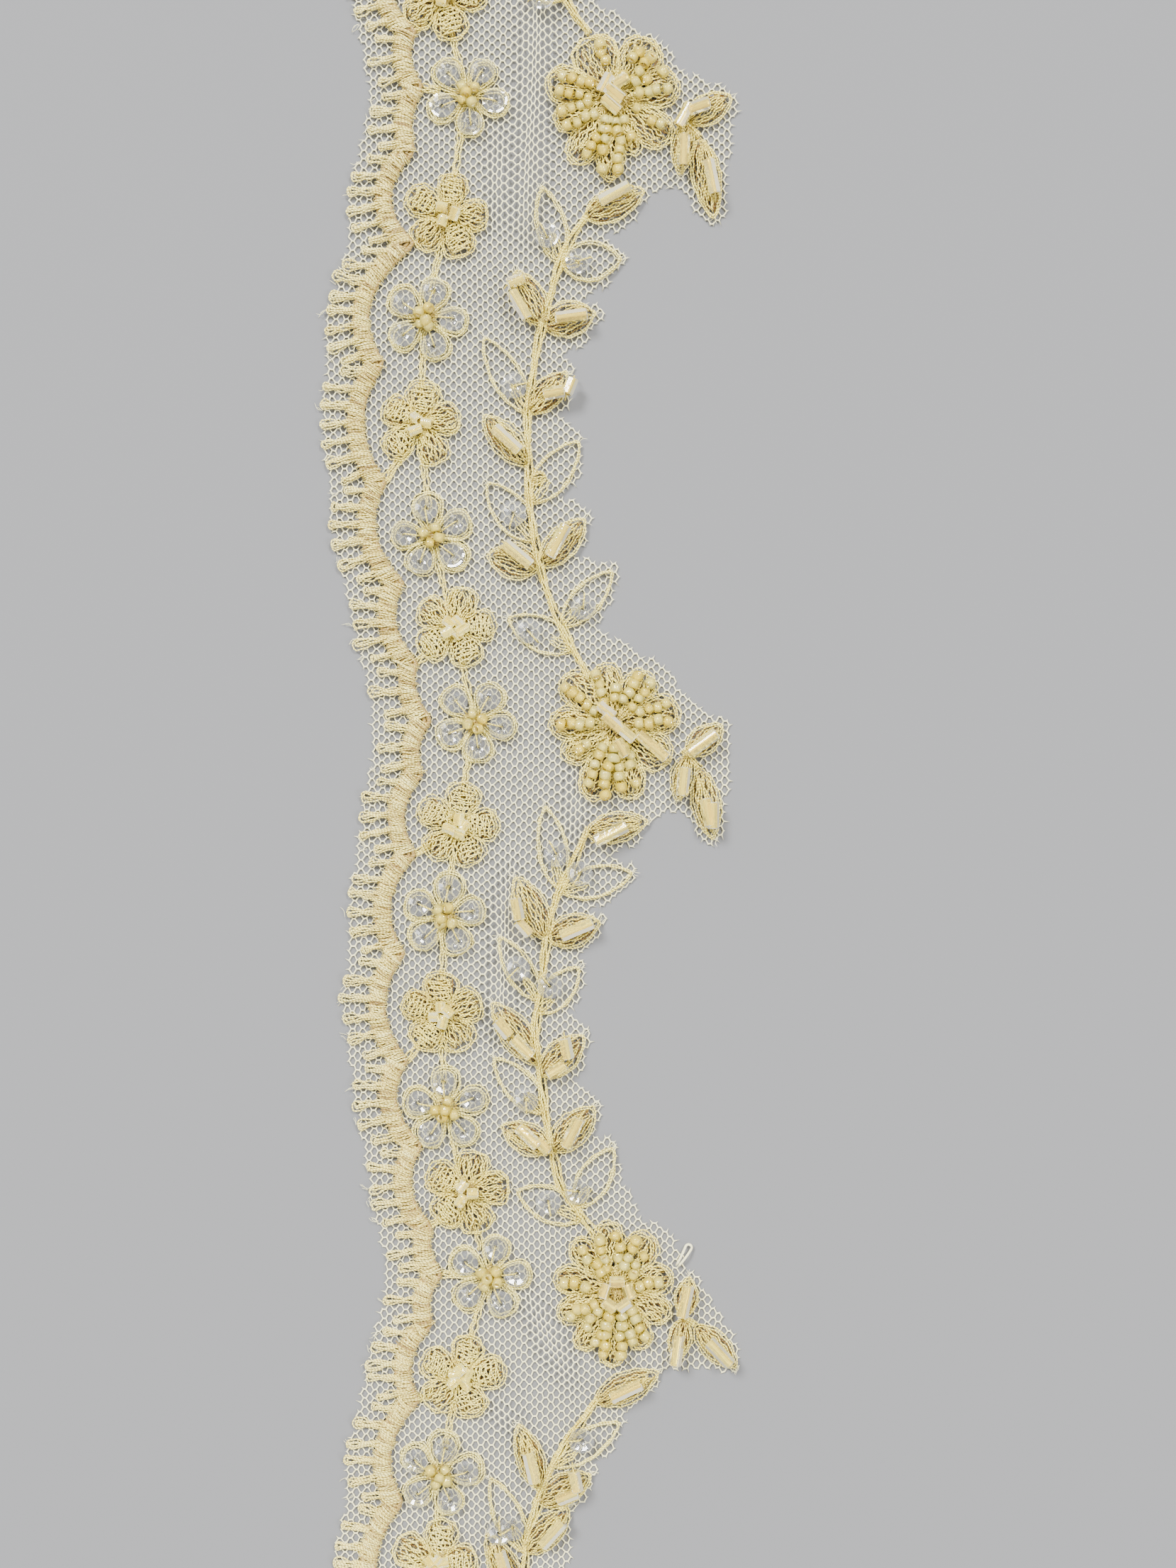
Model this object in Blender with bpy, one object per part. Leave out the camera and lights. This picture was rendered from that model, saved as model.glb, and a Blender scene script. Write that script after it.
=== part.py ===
"""Beaded embroidered net lace edging, a cut length lying flat: its solids.

The tables are in millimetres. x runs across the edging, from the scalloped border at the left to
the free flowers at the right, and y runs along it. z is up, and the net rests on z = 0.
"""
import math

import bmesh
import bpy

MM = 0.001

# Driving sizes, in millimetres
HALF_WIDTH = 33.0
HALF_LENGTH = 132.0
NET_THICK = 1.0
NET_GRID = 2.0
RIPPLE_GRID = 1.5
RIPPLE_COLUMNS = (-7, 9)
GAP = 0.3
RIPPLE_END = 6.0

BAND_WIDTH = 2.6
BAND_THICK = 0.8
BAR_PITCH = 2.95
BAR_LENGTH = 4.7
BAR_ROOT = 1.1
BAR_HALF = 0.62
BAR_FAN = 0.5
BAR_LEAN = 0.08
BAR_EASE = 4.5
BAR_SHORT = 0.66

STEM_WIDTH = 1.3
STEM_THICK = 0.8
STEM_STEP = 2.0
STEM_CLEAR = 0.25
LEAF_THICK = 0.65
LEAF_CROWN = 0.2
LEAF_RIM = 0.8

FLOWER_REACH = 7.0
PETAL_RADIUS = 2.45
FLOWER_THICK = 0.55
FLOWER_CROWN = 0.35
SMALL_HUB = 0.5
LARGE_HUB = 0.6

BUGLE_RADIUS = 0.9
BUGLE_BORE = 0.4
BUGLE_BEVEL = 0.18
BEAD_SEAT = NET_THICK + GAP + LEAF_THICK + LEAF_CROWN + GAP

CUT_MARGIN = 0.9
NOTCH_OUT = 4.2
FLOWER_CUT = 11.6
TOP_CORNER = 11.9
BOTTOM_CORNER = 4.9
FRINGE_STEPS = 60

# Soft ripples of the free net: start x, y, end x, y, half width, height
RIPPLES = (
    (1.5, 126.0, 0.0, 88.0, 4.2, 1.1),
    (-4.6, 101.0, -4.6, 90.0, 3.4, 0.7),
    (-3.0, -15.0, -4.6, -37.0, 4.2, 1.4),
    (7.4, 2.0, 7.0, -7.0, 3.6, 0.9),
    (0.6, -82.0, 5.6, -92.0, 4.0, 1.2),
    (-5.5, -98.0, -2.0, -101.0, 3.6, 0.9),
)

# Scallops of the border: inner cusp x, y, and how far the curve to the next cusp swings out
SCALLOPS = (
    (-21.5, 142.0, 2.6),
    (-19.7, 128.4, 2.6),
    (-17.3, 118.2, 1.7),
    (-16.2, 109.3, 1.4),
    (-17.5, 99.0, 4.1),
    (-17.3, 84.6, 4.9),
    (-22.3, 66.0, 3.6),
    (-22.1, 47.3, 3.2),
    (-19.3, 31.6, 2.6),
    (-17.1, 19.0, 1.7),
    (-14.7, 10.1, 1.7),
    (-16.2, 1.6, 2.7),
    (-17.3, -11.0, 3.4),
    (-19.1, -26.6, 3.6),
    (-18.6, -43.4, 3.2),
    (-16.2, -56.6, 2.9),
    (-14.8, -69.3, 1.3),
    (-13.1, -76.8, 1.5),
    (-14.7, -84.9, 2.7),
    (-16.7, -96.6, 3.5),
    (-19.3, -112.7, 3.1),
    (-21.9, -129.3, 3.0),
    (-22.5, -145.0, 0.0),
)

# Small flowers along the border: x, y, turn of the first petal in degrees
SMALL_FLOWERS = (
    (-13.6, 123.4, 4),
    (-9.5, 107.9, -13),
    (-12.8, 89.0, 5),
    (-16.2, 72.9, 0),
    (-17.0, 56.4, 7),
    (-15.2, 38.8, 30),
    (-11.6, 24.6, 4),
    (-8.4, 9.8, -12),
    (-11.1, -6.6, 6),
    (-13.1, -20.7, 10),
    (-13.7, -36.0, 16),
    (-13.0, -51.0, 22),
    (-9.8, -64.0, 8),
    (-6.2, -77.1, 5),
    (-10.7, -92.7, 5),
    (-14.0, -108.2, 5),
    (-14.4, -122.1, 5),
)

# Large flowers: centre x, y, and for each petal its direction in degrees and its reach
LARGE_FLOWERS = (
    (13.3, 107.3, ((17, 10.6), (54, 11.1), (113, 10.6), (165, 10.9), (203, 10.0),
                   (238, 11.9), (268, 12.8), (292, 9.4), (320, 11.1))),
    (13.6, 9.3, ((14, 10.3), (57, 9.8), (102, 9.8), (135, 11.1), (180, 10.3),
                 (212, 9.6), (253, 12.4), (282, 12.0), (323, 10.3))),
    (13.8, -79.3, ((14, 9.1), (60, 10.3), (99, 10.9), (129, 10.4), (168, 10.0),
                   (205, 10.0), (238, 11.1), (266, 12.2), (295, 10.2), (333, 9.4))),
)

# Vine stems: points x, y from top to bottom
STEMS = {
    "vine_1": ((3.3, 131.8), (6.1, 123.0), (8.4, 119.4)),
    "vine_2": ((9.4, 89.4), (6.1, 84.6), (3.3, 76.2), (1.4, 68.4), (0.0, 59.0), (0.0, 49.6),
               (0.7, 39.6), (3.3, 29.0), (6.1, 22.9), (8.5, 18.4)),
    "vine_3": ((9.4, -6.8), (6.6, -13.2), (3.6, -20.4), (2.2, -30.4), (1.1, -39.3), (2.2, -48.2),
               (3.6, -57.1), (5.5, -63.8), (9.2, -68.9)),
    "vine_4": ((11.1, -96.0), (6.1, -103.2), (2.5, -109.3), (1.1, -114.3), (-0.4, -119.3),
               (-0.8, -131.8)),
    "sprig_1": ((24.0, 104.6), (26.8, 101.3)),
    "sprig_2": ((24.2, 5.4), (26.9, 2.4)),
    "sprig_3": ((23.7, -83.2), (26.2, -84.9)),
}

# Leaves of each stem: side (l left, r right, e end; seen along the stem from its top), distance of
# the root from the top, direction in degrees, length, width, and how it is worked
LEAVES = {
    "vine_1": (
        ("r", 9.0, 159, 7.7, 5.2, "open"),
        ("l", 9.0, 58, 8.8, 5.2, "open"),
    ),
    "vine_2": (
        ("l", 0.0, 26, 10.4, 5.2, "full"),
        ("r", 8.0, 103, 12.2, 4.8, "open"),
        ("l", 8.0, 5, 9.6, 6.3, "open"),
        ("r", 18.0, 116, 9.4, 5.2, "full"),
        ("l", 18.0, 13, 8.6, 6.0, "full"),
        ("r", 32.0, 120, 13.8, 4.9, "open"),
        ("l", 32.0, 47, 8.8, 4.8, "full"),
        ("r", 40.0, 132, 10.4, 4.8, "full"),
        ("l", 46.0, 52, 12.4, 5.4, "open"),
        ("r", 52.0, 129, 11.9, 5.6, "open"),
        ("l", 56.0, 47, 10.2, 5.0, "full"),
        ("r", 56.0, 168, 8.5, 5.8, "full"),
        ("l", 66.0, 48, 11.8, 4.8, "open"),
        ("r", 70.0, 154, 11.4, 5.6, "open"),
    ),
    "vine_3": (
        ("l", 0.0, 11, 9.8, 4.8, "full"),
        ("r", 10.0, 100, 13.4, 4.8, "open"),
        ("l", 10.0, 14, 11.6, 5.0, "open"),
        ("r", 18.0, 117, 10.9, 5.2, "full"),
        ("l", 18.0, 18, 8.7, 5.4, "full"),
        ("r", 28.0, 121, 11.9, 4.4, "open"),
        ("l", 30.0, 48, 9.8, 4.8, "open"),
        ("r", 38.0, 126, 12.0, 5.0, "full"),
        ("l", 40.0, 43, 9.4, 5.2, "full"),
        ("r", 46.0, 133, 11.9, 5.0, "open"),
        ("r", 52.0, 153, 8.9, 5.0, "full"),
        ("l", 52.0, 46, 9.5, 5.2, "full"),
        ("l", 62.0, 58, 11.2, 5.2, "open"),
        ("r", 64.0, 157, 11.2, 5.6, "open"),
    ),
    "vine_4": (
        ("l", 0.0, 25, 10.8, 5.0, "full"),
        ("l", 12.0, 33, 12.6, 4.8, "open"),
        ("r", 16.0, 109, 11.0, 4.4, "full"),
        ("l", 18.0, 28, 9.4, 5.0, "full"),
        ("r", 26.0, 115, 12.8, 4.6, "open"),
        ("l", 26.0, 46, 9.8, 5.0, "full"),
        ("r", 34.0, 117, 12.6, 4.8, "full"),
    ),
    "sprig_1": (
        ("l", 0.0, 30, 8.2, 5.0, "full"),
        ("r", 0.0, -97, 8.2, 3.6, "full"),
        ("e", 0.0, -80, 12.8, 4.6, "full"),
    ),
    "sprig_2": (
        ("l", 0.0, 40, 7.2, 4.4, "full"),
        ("r", 0.0, -102, 7.4, 3.6, "full"),
        ("e", 0.0, -80, 11.2, 4.6, "full"),
    ),
    "sprig_3": (
        ("l", 0.0, 82, 6.4, 3.8, "full"),
        ("r", 0.0, -100, 7.0, 3.8, "full"),
        ("e", 0.0, -46, 9.0, 4.4, "full"),
    ),
}

# Half width of a leaf along its length: fraction of the length, fraction of the half width
LEAF_SHAPE = ((0.16, 0.55), (0.4, 1.0), (0.68, 0.86), (0.9, 0.42))

# Bugle beads on leaves: name, centre x, y, turn in degrees, length
BUGLES = (
    ("bugle_01", 13.4, 92.0, 29, 5.4),
    ("bugle_02", -1.3, 74.6, -60, 5.1),
    ("bugle_03", 6.7, 72.9, 8, 5.0),
    ("bugle_04", 4.0, 61.0, 11, 3.4),
    ("bugle_05", -3.3, 53.7, -43, 5.6),
    ("bugle_06", 4.6, 37.9, 62, 5.6),
    ("bugle_07", -1.6, 35.8, -40, 5.4),
    ("bugle_08", 12.9, -7.7, 27, 5.6),
    ("bugle_09", -1.7, -19.4, -79, 3.6),
    ("bugle_10", 7.6, -22.7, 23, 5.6),
    ("bugle_11", -3.9, -38.0, -51, 3.2),
    ("bugle_12", -0.9, -41.0, -45, 4.0),
    ("bugle_13", 6.0, -41.2, -79, 3.4),
    ("bugle_14", 0.0, -54.9, -44, 4.3),
    ("bugle_15", 6.9, -54.3, 63, 5.0),
    ("bugle_16", 15.3, -94.6, 25, 5.3),
    ("bugle_17", 0.5, -106.5, -77, 5.1),
    ("bugle_18", 7.4, -108.6, -77, 3.4),
    ("bugle_19", 3.8, -116.8, 49, 5.1),
    ("bugle_20", -3.8, -121.6, -72, 4.4),
    ("bugle_21", 26.6, 105.6, 20, 3.6),
    ("bugle_22", 24.2, 98.8, 88, 5.0),
    ("bugle_23", 28.6, 94.6, -79, 5.6),
    ("bugle_24", 27.2, 6.4, 36, 5.2),
    ("bugle_25", 24.2, 0.4, 84, 4.6),
    ("bugle_26", 28.0, -4.4, -80, 4.6),
    ("bugle_27", 24.5, -80.6, 78, 5.0),
    ("bugle_28", 23.2, -88.2, 82, 5.0),
    ("bugle_29", 29.8, -88.6, -47, 5.2),
)


def clear_scene():
    for old in list(bpy.data.objects):
        bpy.data.objects.remove(old, do_unlink=True)


def material(name, colour, roughness, transmission=0.0):
    made = bpy.data.materials.new(name)
    made.use_nodes = True
    shader = made.node_tree.nodes["Principled BSDF"]
    shader.inputs["Base Color"].default_value = (*colour, 1.0)
    shader.inputs["Roughness"].default_value = roughness
    shader.inputs["Metallic"].default_value = 0.0
    shader.inputs["Transmission Weight"].default_value = transmission
    return made


def add_object(name, bm, skin):
    """Turn a mesh drawn in millimetres into a named object in metres."""
    bmesh.ops.scale(bm, vec=(MM, MM, MM), verts=bm.verts)
    bmesh.ops.recalc_face_normals(bm, faces=bm.faces)
    mesh = bpy.data.meshes.new(name)
    bm.to_mesh(mesh)
    bm.free()
    mesh.materials.append(skin)
    made = bpy.data.objects.new(name, mesh)
    bpy.context.scene.collection.objects.link(made)
    return made


def smooth_step(value):
    held = min(max(value, 0.0), 1.0)
    return held * held * (3.0 - 2.0 * held)


def lift(x, y):
    """Height of the net's underside over the surface: zero but for the ripples."""
    height = 0.0
    for x0, y0, x1, y1, half, peak in RIPPLES:
        run = math.hypot(x1 - x0, y1 - y0)
        along = ((x - x0) * (x1 - x0) + (y - y0) * (y1 - y0)) / run
        across = abs((x - x0) * (y1 - y0) - (y - y0) * (x1 - x0)) / run
        fade = smooth_step(min(along + RIPPLE_END, run + RIPPLE_END - along) / (2.0 * RIPPLE_END))
        if across < half and fade > 0.0:
            height += peak * fade * math.cos(0.5 * math.pi * across / half) ** 2
    return height


def seat(x, y):
    """Underside of what is worked on the net, a gap above the net's upper face."""
    return 1.08 * lift(x, y) + NET_THICK + GAP


def inner_edge(y):
    """x of the border's inner edge and its slope dx/dy."""
    for (x0, y0, swing), (x1, y1, _) in zip(SCALLOPS, SCALLOPS[1:]):
        if y1 <= y <= y0:
            t = (y0 - y) / (y0 - y1)
            x = x0 + t * (x1 - x0) - 4.0 * swing * t * (1.0 - t)
            slope = -(x1 - x0 - 4.0 * swing * (1.0 - 2.0 * t)) / (y0 - y1)
            return x, slope
    return SCALLOPS[0][0], 0.0


def outer_edge(y):
    """x of the band's outer edge: the band keeps its width square to its run."""
    x, slope = inner_edge(y)
    return x - BAND_WIDTH * math.hypot(1.0, slope)


def fringe_edge(y):
    """x of the net's left edge, which follows the ends of the bars loosely."""
    reach = 5.0
    steps = (-1.0, -0.5, 0.0, 0.5, 1.0)
    mean = sum(outer_edge(y + reach * s) for s in steps) / len(steps)
    return max(mean - BAR_LENGTH + 0.3, -HALF_WIDTH)


def smooth_path(points, step):
    """Points at even steps along a smooth curve through the given ones."""
    ends = [points[0], *points, points[-1]]
    fine = []
    for a, b, c, d in zip(ends, ends[1:], ends[2:], ends[3:]):
        for k in range(12):
            t = k / 12.0
            fine.append(tuple(
                0.5 * (2.0 * q + (r - p) * t + (2.0 * p - 5.0 * q + 4.0 * r - s) * t * t
                       + (3.0 * q - p - 3.0 * r + s) * t ** 3)
                for p, q, r, s in zip(a, b, c, d)))
    fine.append(points[-1])
    total = sum(math.dist(a, b) for a, b in zip(fine, fine[1:]))
    count = max(1, round(total / step))
    even = [fine[0]]
    walked = 0.0
    for a, b in zip(fine, fine[1:]):
        piece = math.dist(a, b)
        while len(even) < count and walked + piece >= total * len(even) / count:
            t = (total * len(even) / count - walked) / piece
            even.append((a[0] + t * (b[0] - a[0]), a[1] + t * (b[1] - a[1])))
        walked += piece
    even.append(fine[-1])
    return even


def leaf_side(length, width, heading, root, shape=LEAF_SHAPE, grow=0.0):
    """Both long sides of a leaf and its tip, drawn from its root."""
    ux, uy = math.cos(heading), math.sin(heading)
    rows = []
    for along, share in shape:
        half = 0.5 * width * share + grow
        cx = root[0] + ux * length * along
        cy = root[1] + uy * length * along
        rows.append(((cx + uy * half, cy - ux * half), (cx, cy), (cx - uy * half, cy + ux * half)))
    tip = (root[0] + ux * (length + grow), root[1] + uy * (length + grow))
    return rows, tip


def pillar(bm, x, y, thick, low=0.0):
    """A lower and an upper vertex over one spot of the net."""
    foot = seat(x, y)
    return bm.verts.new((x, y, foot + low)), bm.verts.new((x, y, foot + thick))


def wall(bm, a, b):
    bm.faces.new((a[0], b[0], b[1], a[1]))


def floor_and_roof(bm, loop):
    """The lower and the upper face over one patch between pillars."""
    bm.faces.new([p[0] for p in reversed(loop)])
    bm.faces.new([p[1] for p in loop])


def add_leaf(bm, first, last, rows, tip, kind):
    """Grow a leaf from two pillars of a stem: a raised pad, or an open outline."""
    mid_root = (0.5 * (first[0].co + last[0].co)).xy
    right = [first]
    left = [last]
    middle = []
    for edge_r, centre, edge_l in rows:
        right.append(pillar(bm, *edge_r, LEAF_THICK))
        left.append(pillar(bm, *edge_l, LEAF_THICK))
        middle.append(centre)
    end = pillar(bm, *tip, LEAF_THICK)
    right.append(end)
    left.append(end)
    for a, b in zip(right, right[1:]):
        wall(bm, a, b)
    for a, b in zip(left, left[1:]):
        wall(bm, b, a)
    if kind == "full":
        ridge = [pillar(bm, *spot, LEAF_THICK + LEAF_CROWN) for spot in middle]
        floor_and_roof(bm, (first, right[1], ridge[0]))
        floor_and_roof(bm, (first, ridge[0], last))
        floor_and_roof(bm, (ridge[0], left[1], last))
        for k in range(len(ridge) - 1):
            floor_and_roof(bm, (right[k + 1], right[k + 2], ridge[k + 1], ridge[k]))
            floor_and_roof(bm, (ridge[k], ridge[k + 1], left[k + 2], left[k + 1]))
        floor_and_roof(bm, (right[-2], end, ridge[-1]))
        floor_and_roof(bm, (ridge[-1], end, left[-2]))
        return
    inner_r = []
    inner_l = []
    for edge_r, centre, edge_l in rows:
        half = math.dist(edge_r, centre)
        keep = max(half - LEAF_RIM, 0.25) / half
        for spot, into in ((edge_r, inner_r), (edge_l, inner_l)):
            x = centre[0] + (spot[0] - centre[0]) * keep
            y = centre[1] + (spot[1] - centre[1]) * keep
            into.append(pillar(bm, x, y, LEAF_THICK))
    hx = mid_root[0] + 0.35 * (middle[0][0] - mid_root[0])
    hy = mid_root[1] + 0.35 * (middle[0][1] - mid_root[1])
    heel = pillar(bm, hx, hy, LEAF_THICK)
    hole = [heel, *inner_r, *reversed(inner_l)]
    floor_and_roof(bm, (first, heel, last))
    floor_and_roof(bm, (first, right[1], inner_r[0], heel))
    floor_and_roof(bm, (heel, inner_l[0], left[1], last))
    for k in range(len(inner_r) - 1):
        floor_and_roof(bm, (right[k + 1], right[k + 2], inner_r[k + 1], inner_r[k]))
        floor_and_roof(bm, (inner_l[k], inner_l[k + 1], left[k + 2], left[k + 1]))
    floor_and_roof(bm, (right[-2], end, inner_r[-1]))
    floor_and_roof(bm, (inner_r[-1], end, inner_l[-1]))
    floor_and_roof(bm, (inner_l[-1], end, left[-2]))
    for a, b in zip(hole, hole[1:] + hole[:1]):
        wall(bm, b, a)


def stem_spots(name):
    """Centre and heading of each station of a stem."""
    path = smooth_path(STEMS[name], STEM_STEP)
    spots = []
    for k, spot in enumerate(path):
        before = path[max(k - 1, 0)]
        after = path[min(k + 1, len(path) - 1)]
        run = math.dist(before, after)
        spots.append((spot, ((after[0] - before[0]) / run, (after[1] - before[1]) / run)))
    return spots


def leaf_roots(name):
    """Each leaf's stem interval, root, heading and sizes."""
    spots = stem_spots(name)
    rows = []
    for side, along, turn, length, width, kind in LEAVES[name]:
        k = min(round(along / STEM_STEP), len(spots) - 2)
        if side == "e":
            k = len(spots) - 1
            root = spots[k][0]
        else:
            (ax, ay), _ = spots[k]
            (bx, by), _ = spots[k + 1]
            root = (0.5 * (ax + bx), 0.5 * (ay + by))
        rows.append((side, k, root, math.radians(turn), length, width, kind))
    return rows


def beside_stem(rows, station, side):
    """Move the corners of a leaf that would lie on its stem out to just beside it."""
    (x, y), (ux, uy) = station
    sign = 1.0 if side == "l" else -1.0
    nx, ny = -sign * uy, sign * ux
    clear = 0.5 * STEM_WIDTH + STEM_CLEAR
    moved = []
    for row in rows:
        spots = []
        for px, py in row:
            short = max(clear - (px - x) * nx - (py - y) * ny, 0.0)
            spots.append((px + nx * short, py + ny * short))
        moved.append(tuple(spots))
    return moved


def build_stem(name, skin):
    """A stem and its leaves, worked in one piece."""
    bm = bmesh.new()
    spots = stem_spots(name)
    half = 0.5 * STEM_WIDTH
    left = []
    right = []
    for (x, y), (ux, uy) in spots:
        left.append(pillar(bm, x - uy * half, y + ux * half, STEM_THICK))
        right.append(pillar(bm, x + uy * half, y - ux * half, STEM_THICK))
    taken = {}
    for side, k, root, heading, length, width, kind in leaf_roots(name):
        rows, tip = leaf_side(length, width, heading, root)
        if side != "e":
            rows = beside_stem(rows, spots[k], side)
        taken[side, k] = (rows, tip, kind)
    for k in range(len(spots) - 1):
        floor_and_roof(bm, (right[k], right[k + 1], left[k + 1], left[k]))
        if ("l", k) in taken:
            add_leaf(bm, left[k + 1], left[k], *taken["l", k])
        else:
            wall(bm, left[k + 1], left[k])
        if ("r", k) in taken:
            add_leaf(bm, right[k], right[k + 1], *taken["r", k])
        else:
            wall(bm, right[k], right[k + 1])
    wall(bm, left[0], right[0])
    last = len(spots) - 1
    if ("e", last) in taken:
        add_leaf(bm, right[last], left[last], *taken["e", last])
    else:
        wall(bm, right[last], left[last])
    return add_object(name, bm, skin)


def lobed_pad(name, x, y, spokes, crown, hub, skin):
    """A flower as one raised pad. Each spoke: angle, reach, and how high its lobe stands."""
    bm = bmesh.new()
    rim = []
    mid = []
    for angle, reach, height in spokes:
        ux, uy = math.cos(angle), math.sin(angle)
        rx = max(x + ux * reach, inner_edge(y + uy * reach)[0] + GAP + 0.25)
        rim.append(pillar(bm, rx, y + uy * reach, FLOWER_THICK))
        mx = x + 0.58 * (rx - x)
        my = y + 0.58 * uy * reach
        mid.append(pillar(bm, mx, my, FLOWER_THICK + crown * height))
    core = pillar(bm, x, y, FLOWER_THICK + hub)
    count = len(rim)
    for k in range(count):
        n = (k + 1) % count
        wall(bm, rim[k], rim[n])
        bm.faces.new((mid[k][1], rim[k][1], rim[n][1], mid[n][1]))
        bm.faces.new((mid[k][1], mid[n][1], core[1]))
        bm.faces.new((rim[n][0], rim[k][0], core[0]))
    for low, _ in mid:
        bm.verts.remove(low)
    return add_object(name, bm, skin)


def build_small_flower(name, x, y, turn, skin):
    """Five round petals, each as seen from the flower's centre."""
    away = FLOWER_REACH - PETAL_RADIUS
    wings = (-28.0, -17.0, 0.0, 17.0, 28.0)
    spokes = []
    for petal in range(5):
        middle = turn + 72.0 * petal
        spokes.append((math.radians(middle - 36.0), 0.42 * FLOWER_REACH, 0.1))
        for wing in wings:
            phi = math.radians(wing)
            chord = math.sqrt(max(PETAL_RADIUS ** 2 - (away * math.sin(phi)) ** 2, 0.0))
            height = math.cos(math.radians(3.0 * wing))
            spokes.append((math.radians(middle) + phi, away * math.cos(phi) + chord, height))
    return lobed_pad(name, x, y, spokes, FLOWER_CROWN, SMALL_HUB, skin)


def build_large_flower(name, x, y, petals, skin):
    """Nine or ten long petals, parted by short clefts."""
    wings = ((-0.34, 0.9), (-0.14, 1.0), (0.14, 1.0), (0.34, 0.9))
    spokes = []
    for k, (turn, reach) in enumerate(petals):
        before, near = petals[k - 1]
        gap = (turn - before) % 360
        nxt = petals[(k + 1) % len(petals)][0]
        after = (nxt - turn) % 360
        spokes.append((math.radians(turn - 0.5 * gap), 0.76 * min(near, reach), 0.0))
        for share, size in wings:
            spread = after if share > 0.0 else gap
            spokes.append((math.radians(turn + share * spread), size * reach, 1.0))
    return lobed_pad(name, x, y, spokes, FLOWER_CROWN, LARGE_HUB, skin)


def build_border(skin):
    """The satin band and its bars, worked in one piece from the top end to the bottom end."""
    stations = []
    for (x0, y0, swing), (x1, y1, _) in zip(SCALLOPS, SCALLOPS[1:]):
        arc = math.hypot(y0 - y1, x1 - x0) + 2.6 * swing ** 2 / (y0 - y1)
        bars = round(arc / BAR_PITCH)
        stations.append((y0, "cusp"))
        for k in range(bars):
            mid = y0 + (y1 - y0) * (k + 0.5) / bars
            stations.append((mid + 0.5 * BAR_ROOT, "bar"))
            stations.append((mid - 0.5 * BAR_ROOT, "run"))
    end = HALF_LENGTH - 0.2
    kept = [(y, kind) for y, kind in stations if abs(y) < end - 0.4]
    if kept[0][1] == "run":
        kept = kept[1:]
    if kept[-1][1] == "bar":
        kept = kept[:-1]
    kept = [(end, "run"), *kept, (-end, "run")]
    bm = bmesh.new()
    inner = []
    outer = []
    for y, _ in kept:
        inner.append(pillar(bm, inner_edge(y)[0], y, BAND_THICK))
        outer.append(pillar(bm, outer_edge(y), y, BAND_THICK))
    for k, (y, kind) in enumerate(kept[:-1]):
        floor_and_roof(bm, (inner[k], outer[k], outer[k + 1], inner[k + 1]))
        wall(bm, inner[k + 1], inner[k])
        if kind == "bar":
            add_bar(bm, outer[k], outer[k + 1], k)
        else:
            wall(bm, outer[k], outer[k + 1])
    wall(bm, inner[0], outer[0])
    wall(bm, outer[-1], inner[-1])
    return add_object("scallop_border", bm, skin)


def bar_aim(y, slope):
    """Heading and length of a bar: half square to the band, and shorter beside a cusp."""
    ease = smooth_step(min(abs(y - cusp) for _, cusp, _ in SCALLOPS) / BAR_EASE)
    heading = math.pi + BAR_LEAN + BAR_FAN * (0.5 + 0.5 * ease) * math.atan(slope)
    return heading, BAR_LENGTH * (BAR_SHORT + (1.0 - BAR_SHORT) * ease)


def add_bar(bm, top, bottom, index):
    """One stitched bar outside the band, a little fuller at its end."""
    root = 0.5 * (top[0].co + bottom[0].co)
    slope = (bottom[0].co.x - top[0].co.x) / (top[0].co.y - bottom[0].co.y)
    heading, length = bar_aim(root.y, slope)
    length *= 1.0 + 0.06 * math.sin(2.4 * index)
    length = min(length, root.x + HALF_WIDTH)
    shape = ((0.45, 0.85), (0.8, 1.25), (0.97, 0.8))
    rows, _ = leaf_side(length, 2.0 * BAR_HALF, heading, (root.x, root.y), shape)
    upper = [pillar(bm, *row[0], 0.85 * BAND_THICK) for row in rows]
    lower = [pillar(bm, *row[2], 0.85 * BAND_THICK) for row in rows]
    chain = [top, *upper, *reversed(lower), bottom]
    for a, b in zip(chain, chain[1:]):
        wall(bm, a, b)
    floor_and_roof(bm, (top, upper[0], lower[0], bottom))
    for k in range(len(rows) - 1):
        floor_and_roof(bm, (upper[k], upper[k + 1], lower[k + 1], lower[k]))


def flower_edge(number):
    """The cut round the upper right of a large flower, up to its sprig."""
    x, y, _ = LARGE_FLOWERS[number]
    spots = (math.radians(turn) for turn in (72, 45, 22))
    return [(x + FLOWER_CUT * math.cos(a), y + FLOWER_CUT * math.sin(a)) for a in spots]


def sprig_edge(name):
    """The cut round a sprig: its upper leaf, its long leaf and the tip of its inner leaf."""
    upper, inner, long = (
        leaf_side(row[4], row[5], row[3], row[2], LEAF_SHAPE, CUT_MARGIN)
        for row in leaf_roots(name))
    edge = [upper[0][3][2], upper[1], upper[0][3][0]]
    edge += [long[0][1][2], long[0][3][2], long[1], long[0][3][0], long[0][2][0]]
    return edge + [inner[1]]


def notch(name, above, below):
    """The point where the cut comes in towards the stem, between two spots of the edge."""
    y = 0.5 * (above[1] + below[1])
    stem = min((spot for spot, _ in stem_spots(name)), key=lambda spot: abs(spot[1] - y))
    return stem[0] + NOTCH_OUT, y


def vine_edge(name, after):
    """The cut beside a vine's right-hand leaves, in to the stem between them."""
    edge = []
    for side, _, root, heading, length, width, _ in leaf_roots(name):
        if side == "r":
            continue
        sides, tip = leaf_side(length, width, heading, root, LEAF_SHAPE, CUT_MARGIN)
        if edge:
            edge.append(notch(name, edge[-1], tip))
        edge += [tip, sides[2][0]]
    if after and edge[-1][1] - after[1] > 7.0:
        edge.append(notch(name, edge[-1], after))
    return edge


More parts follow.
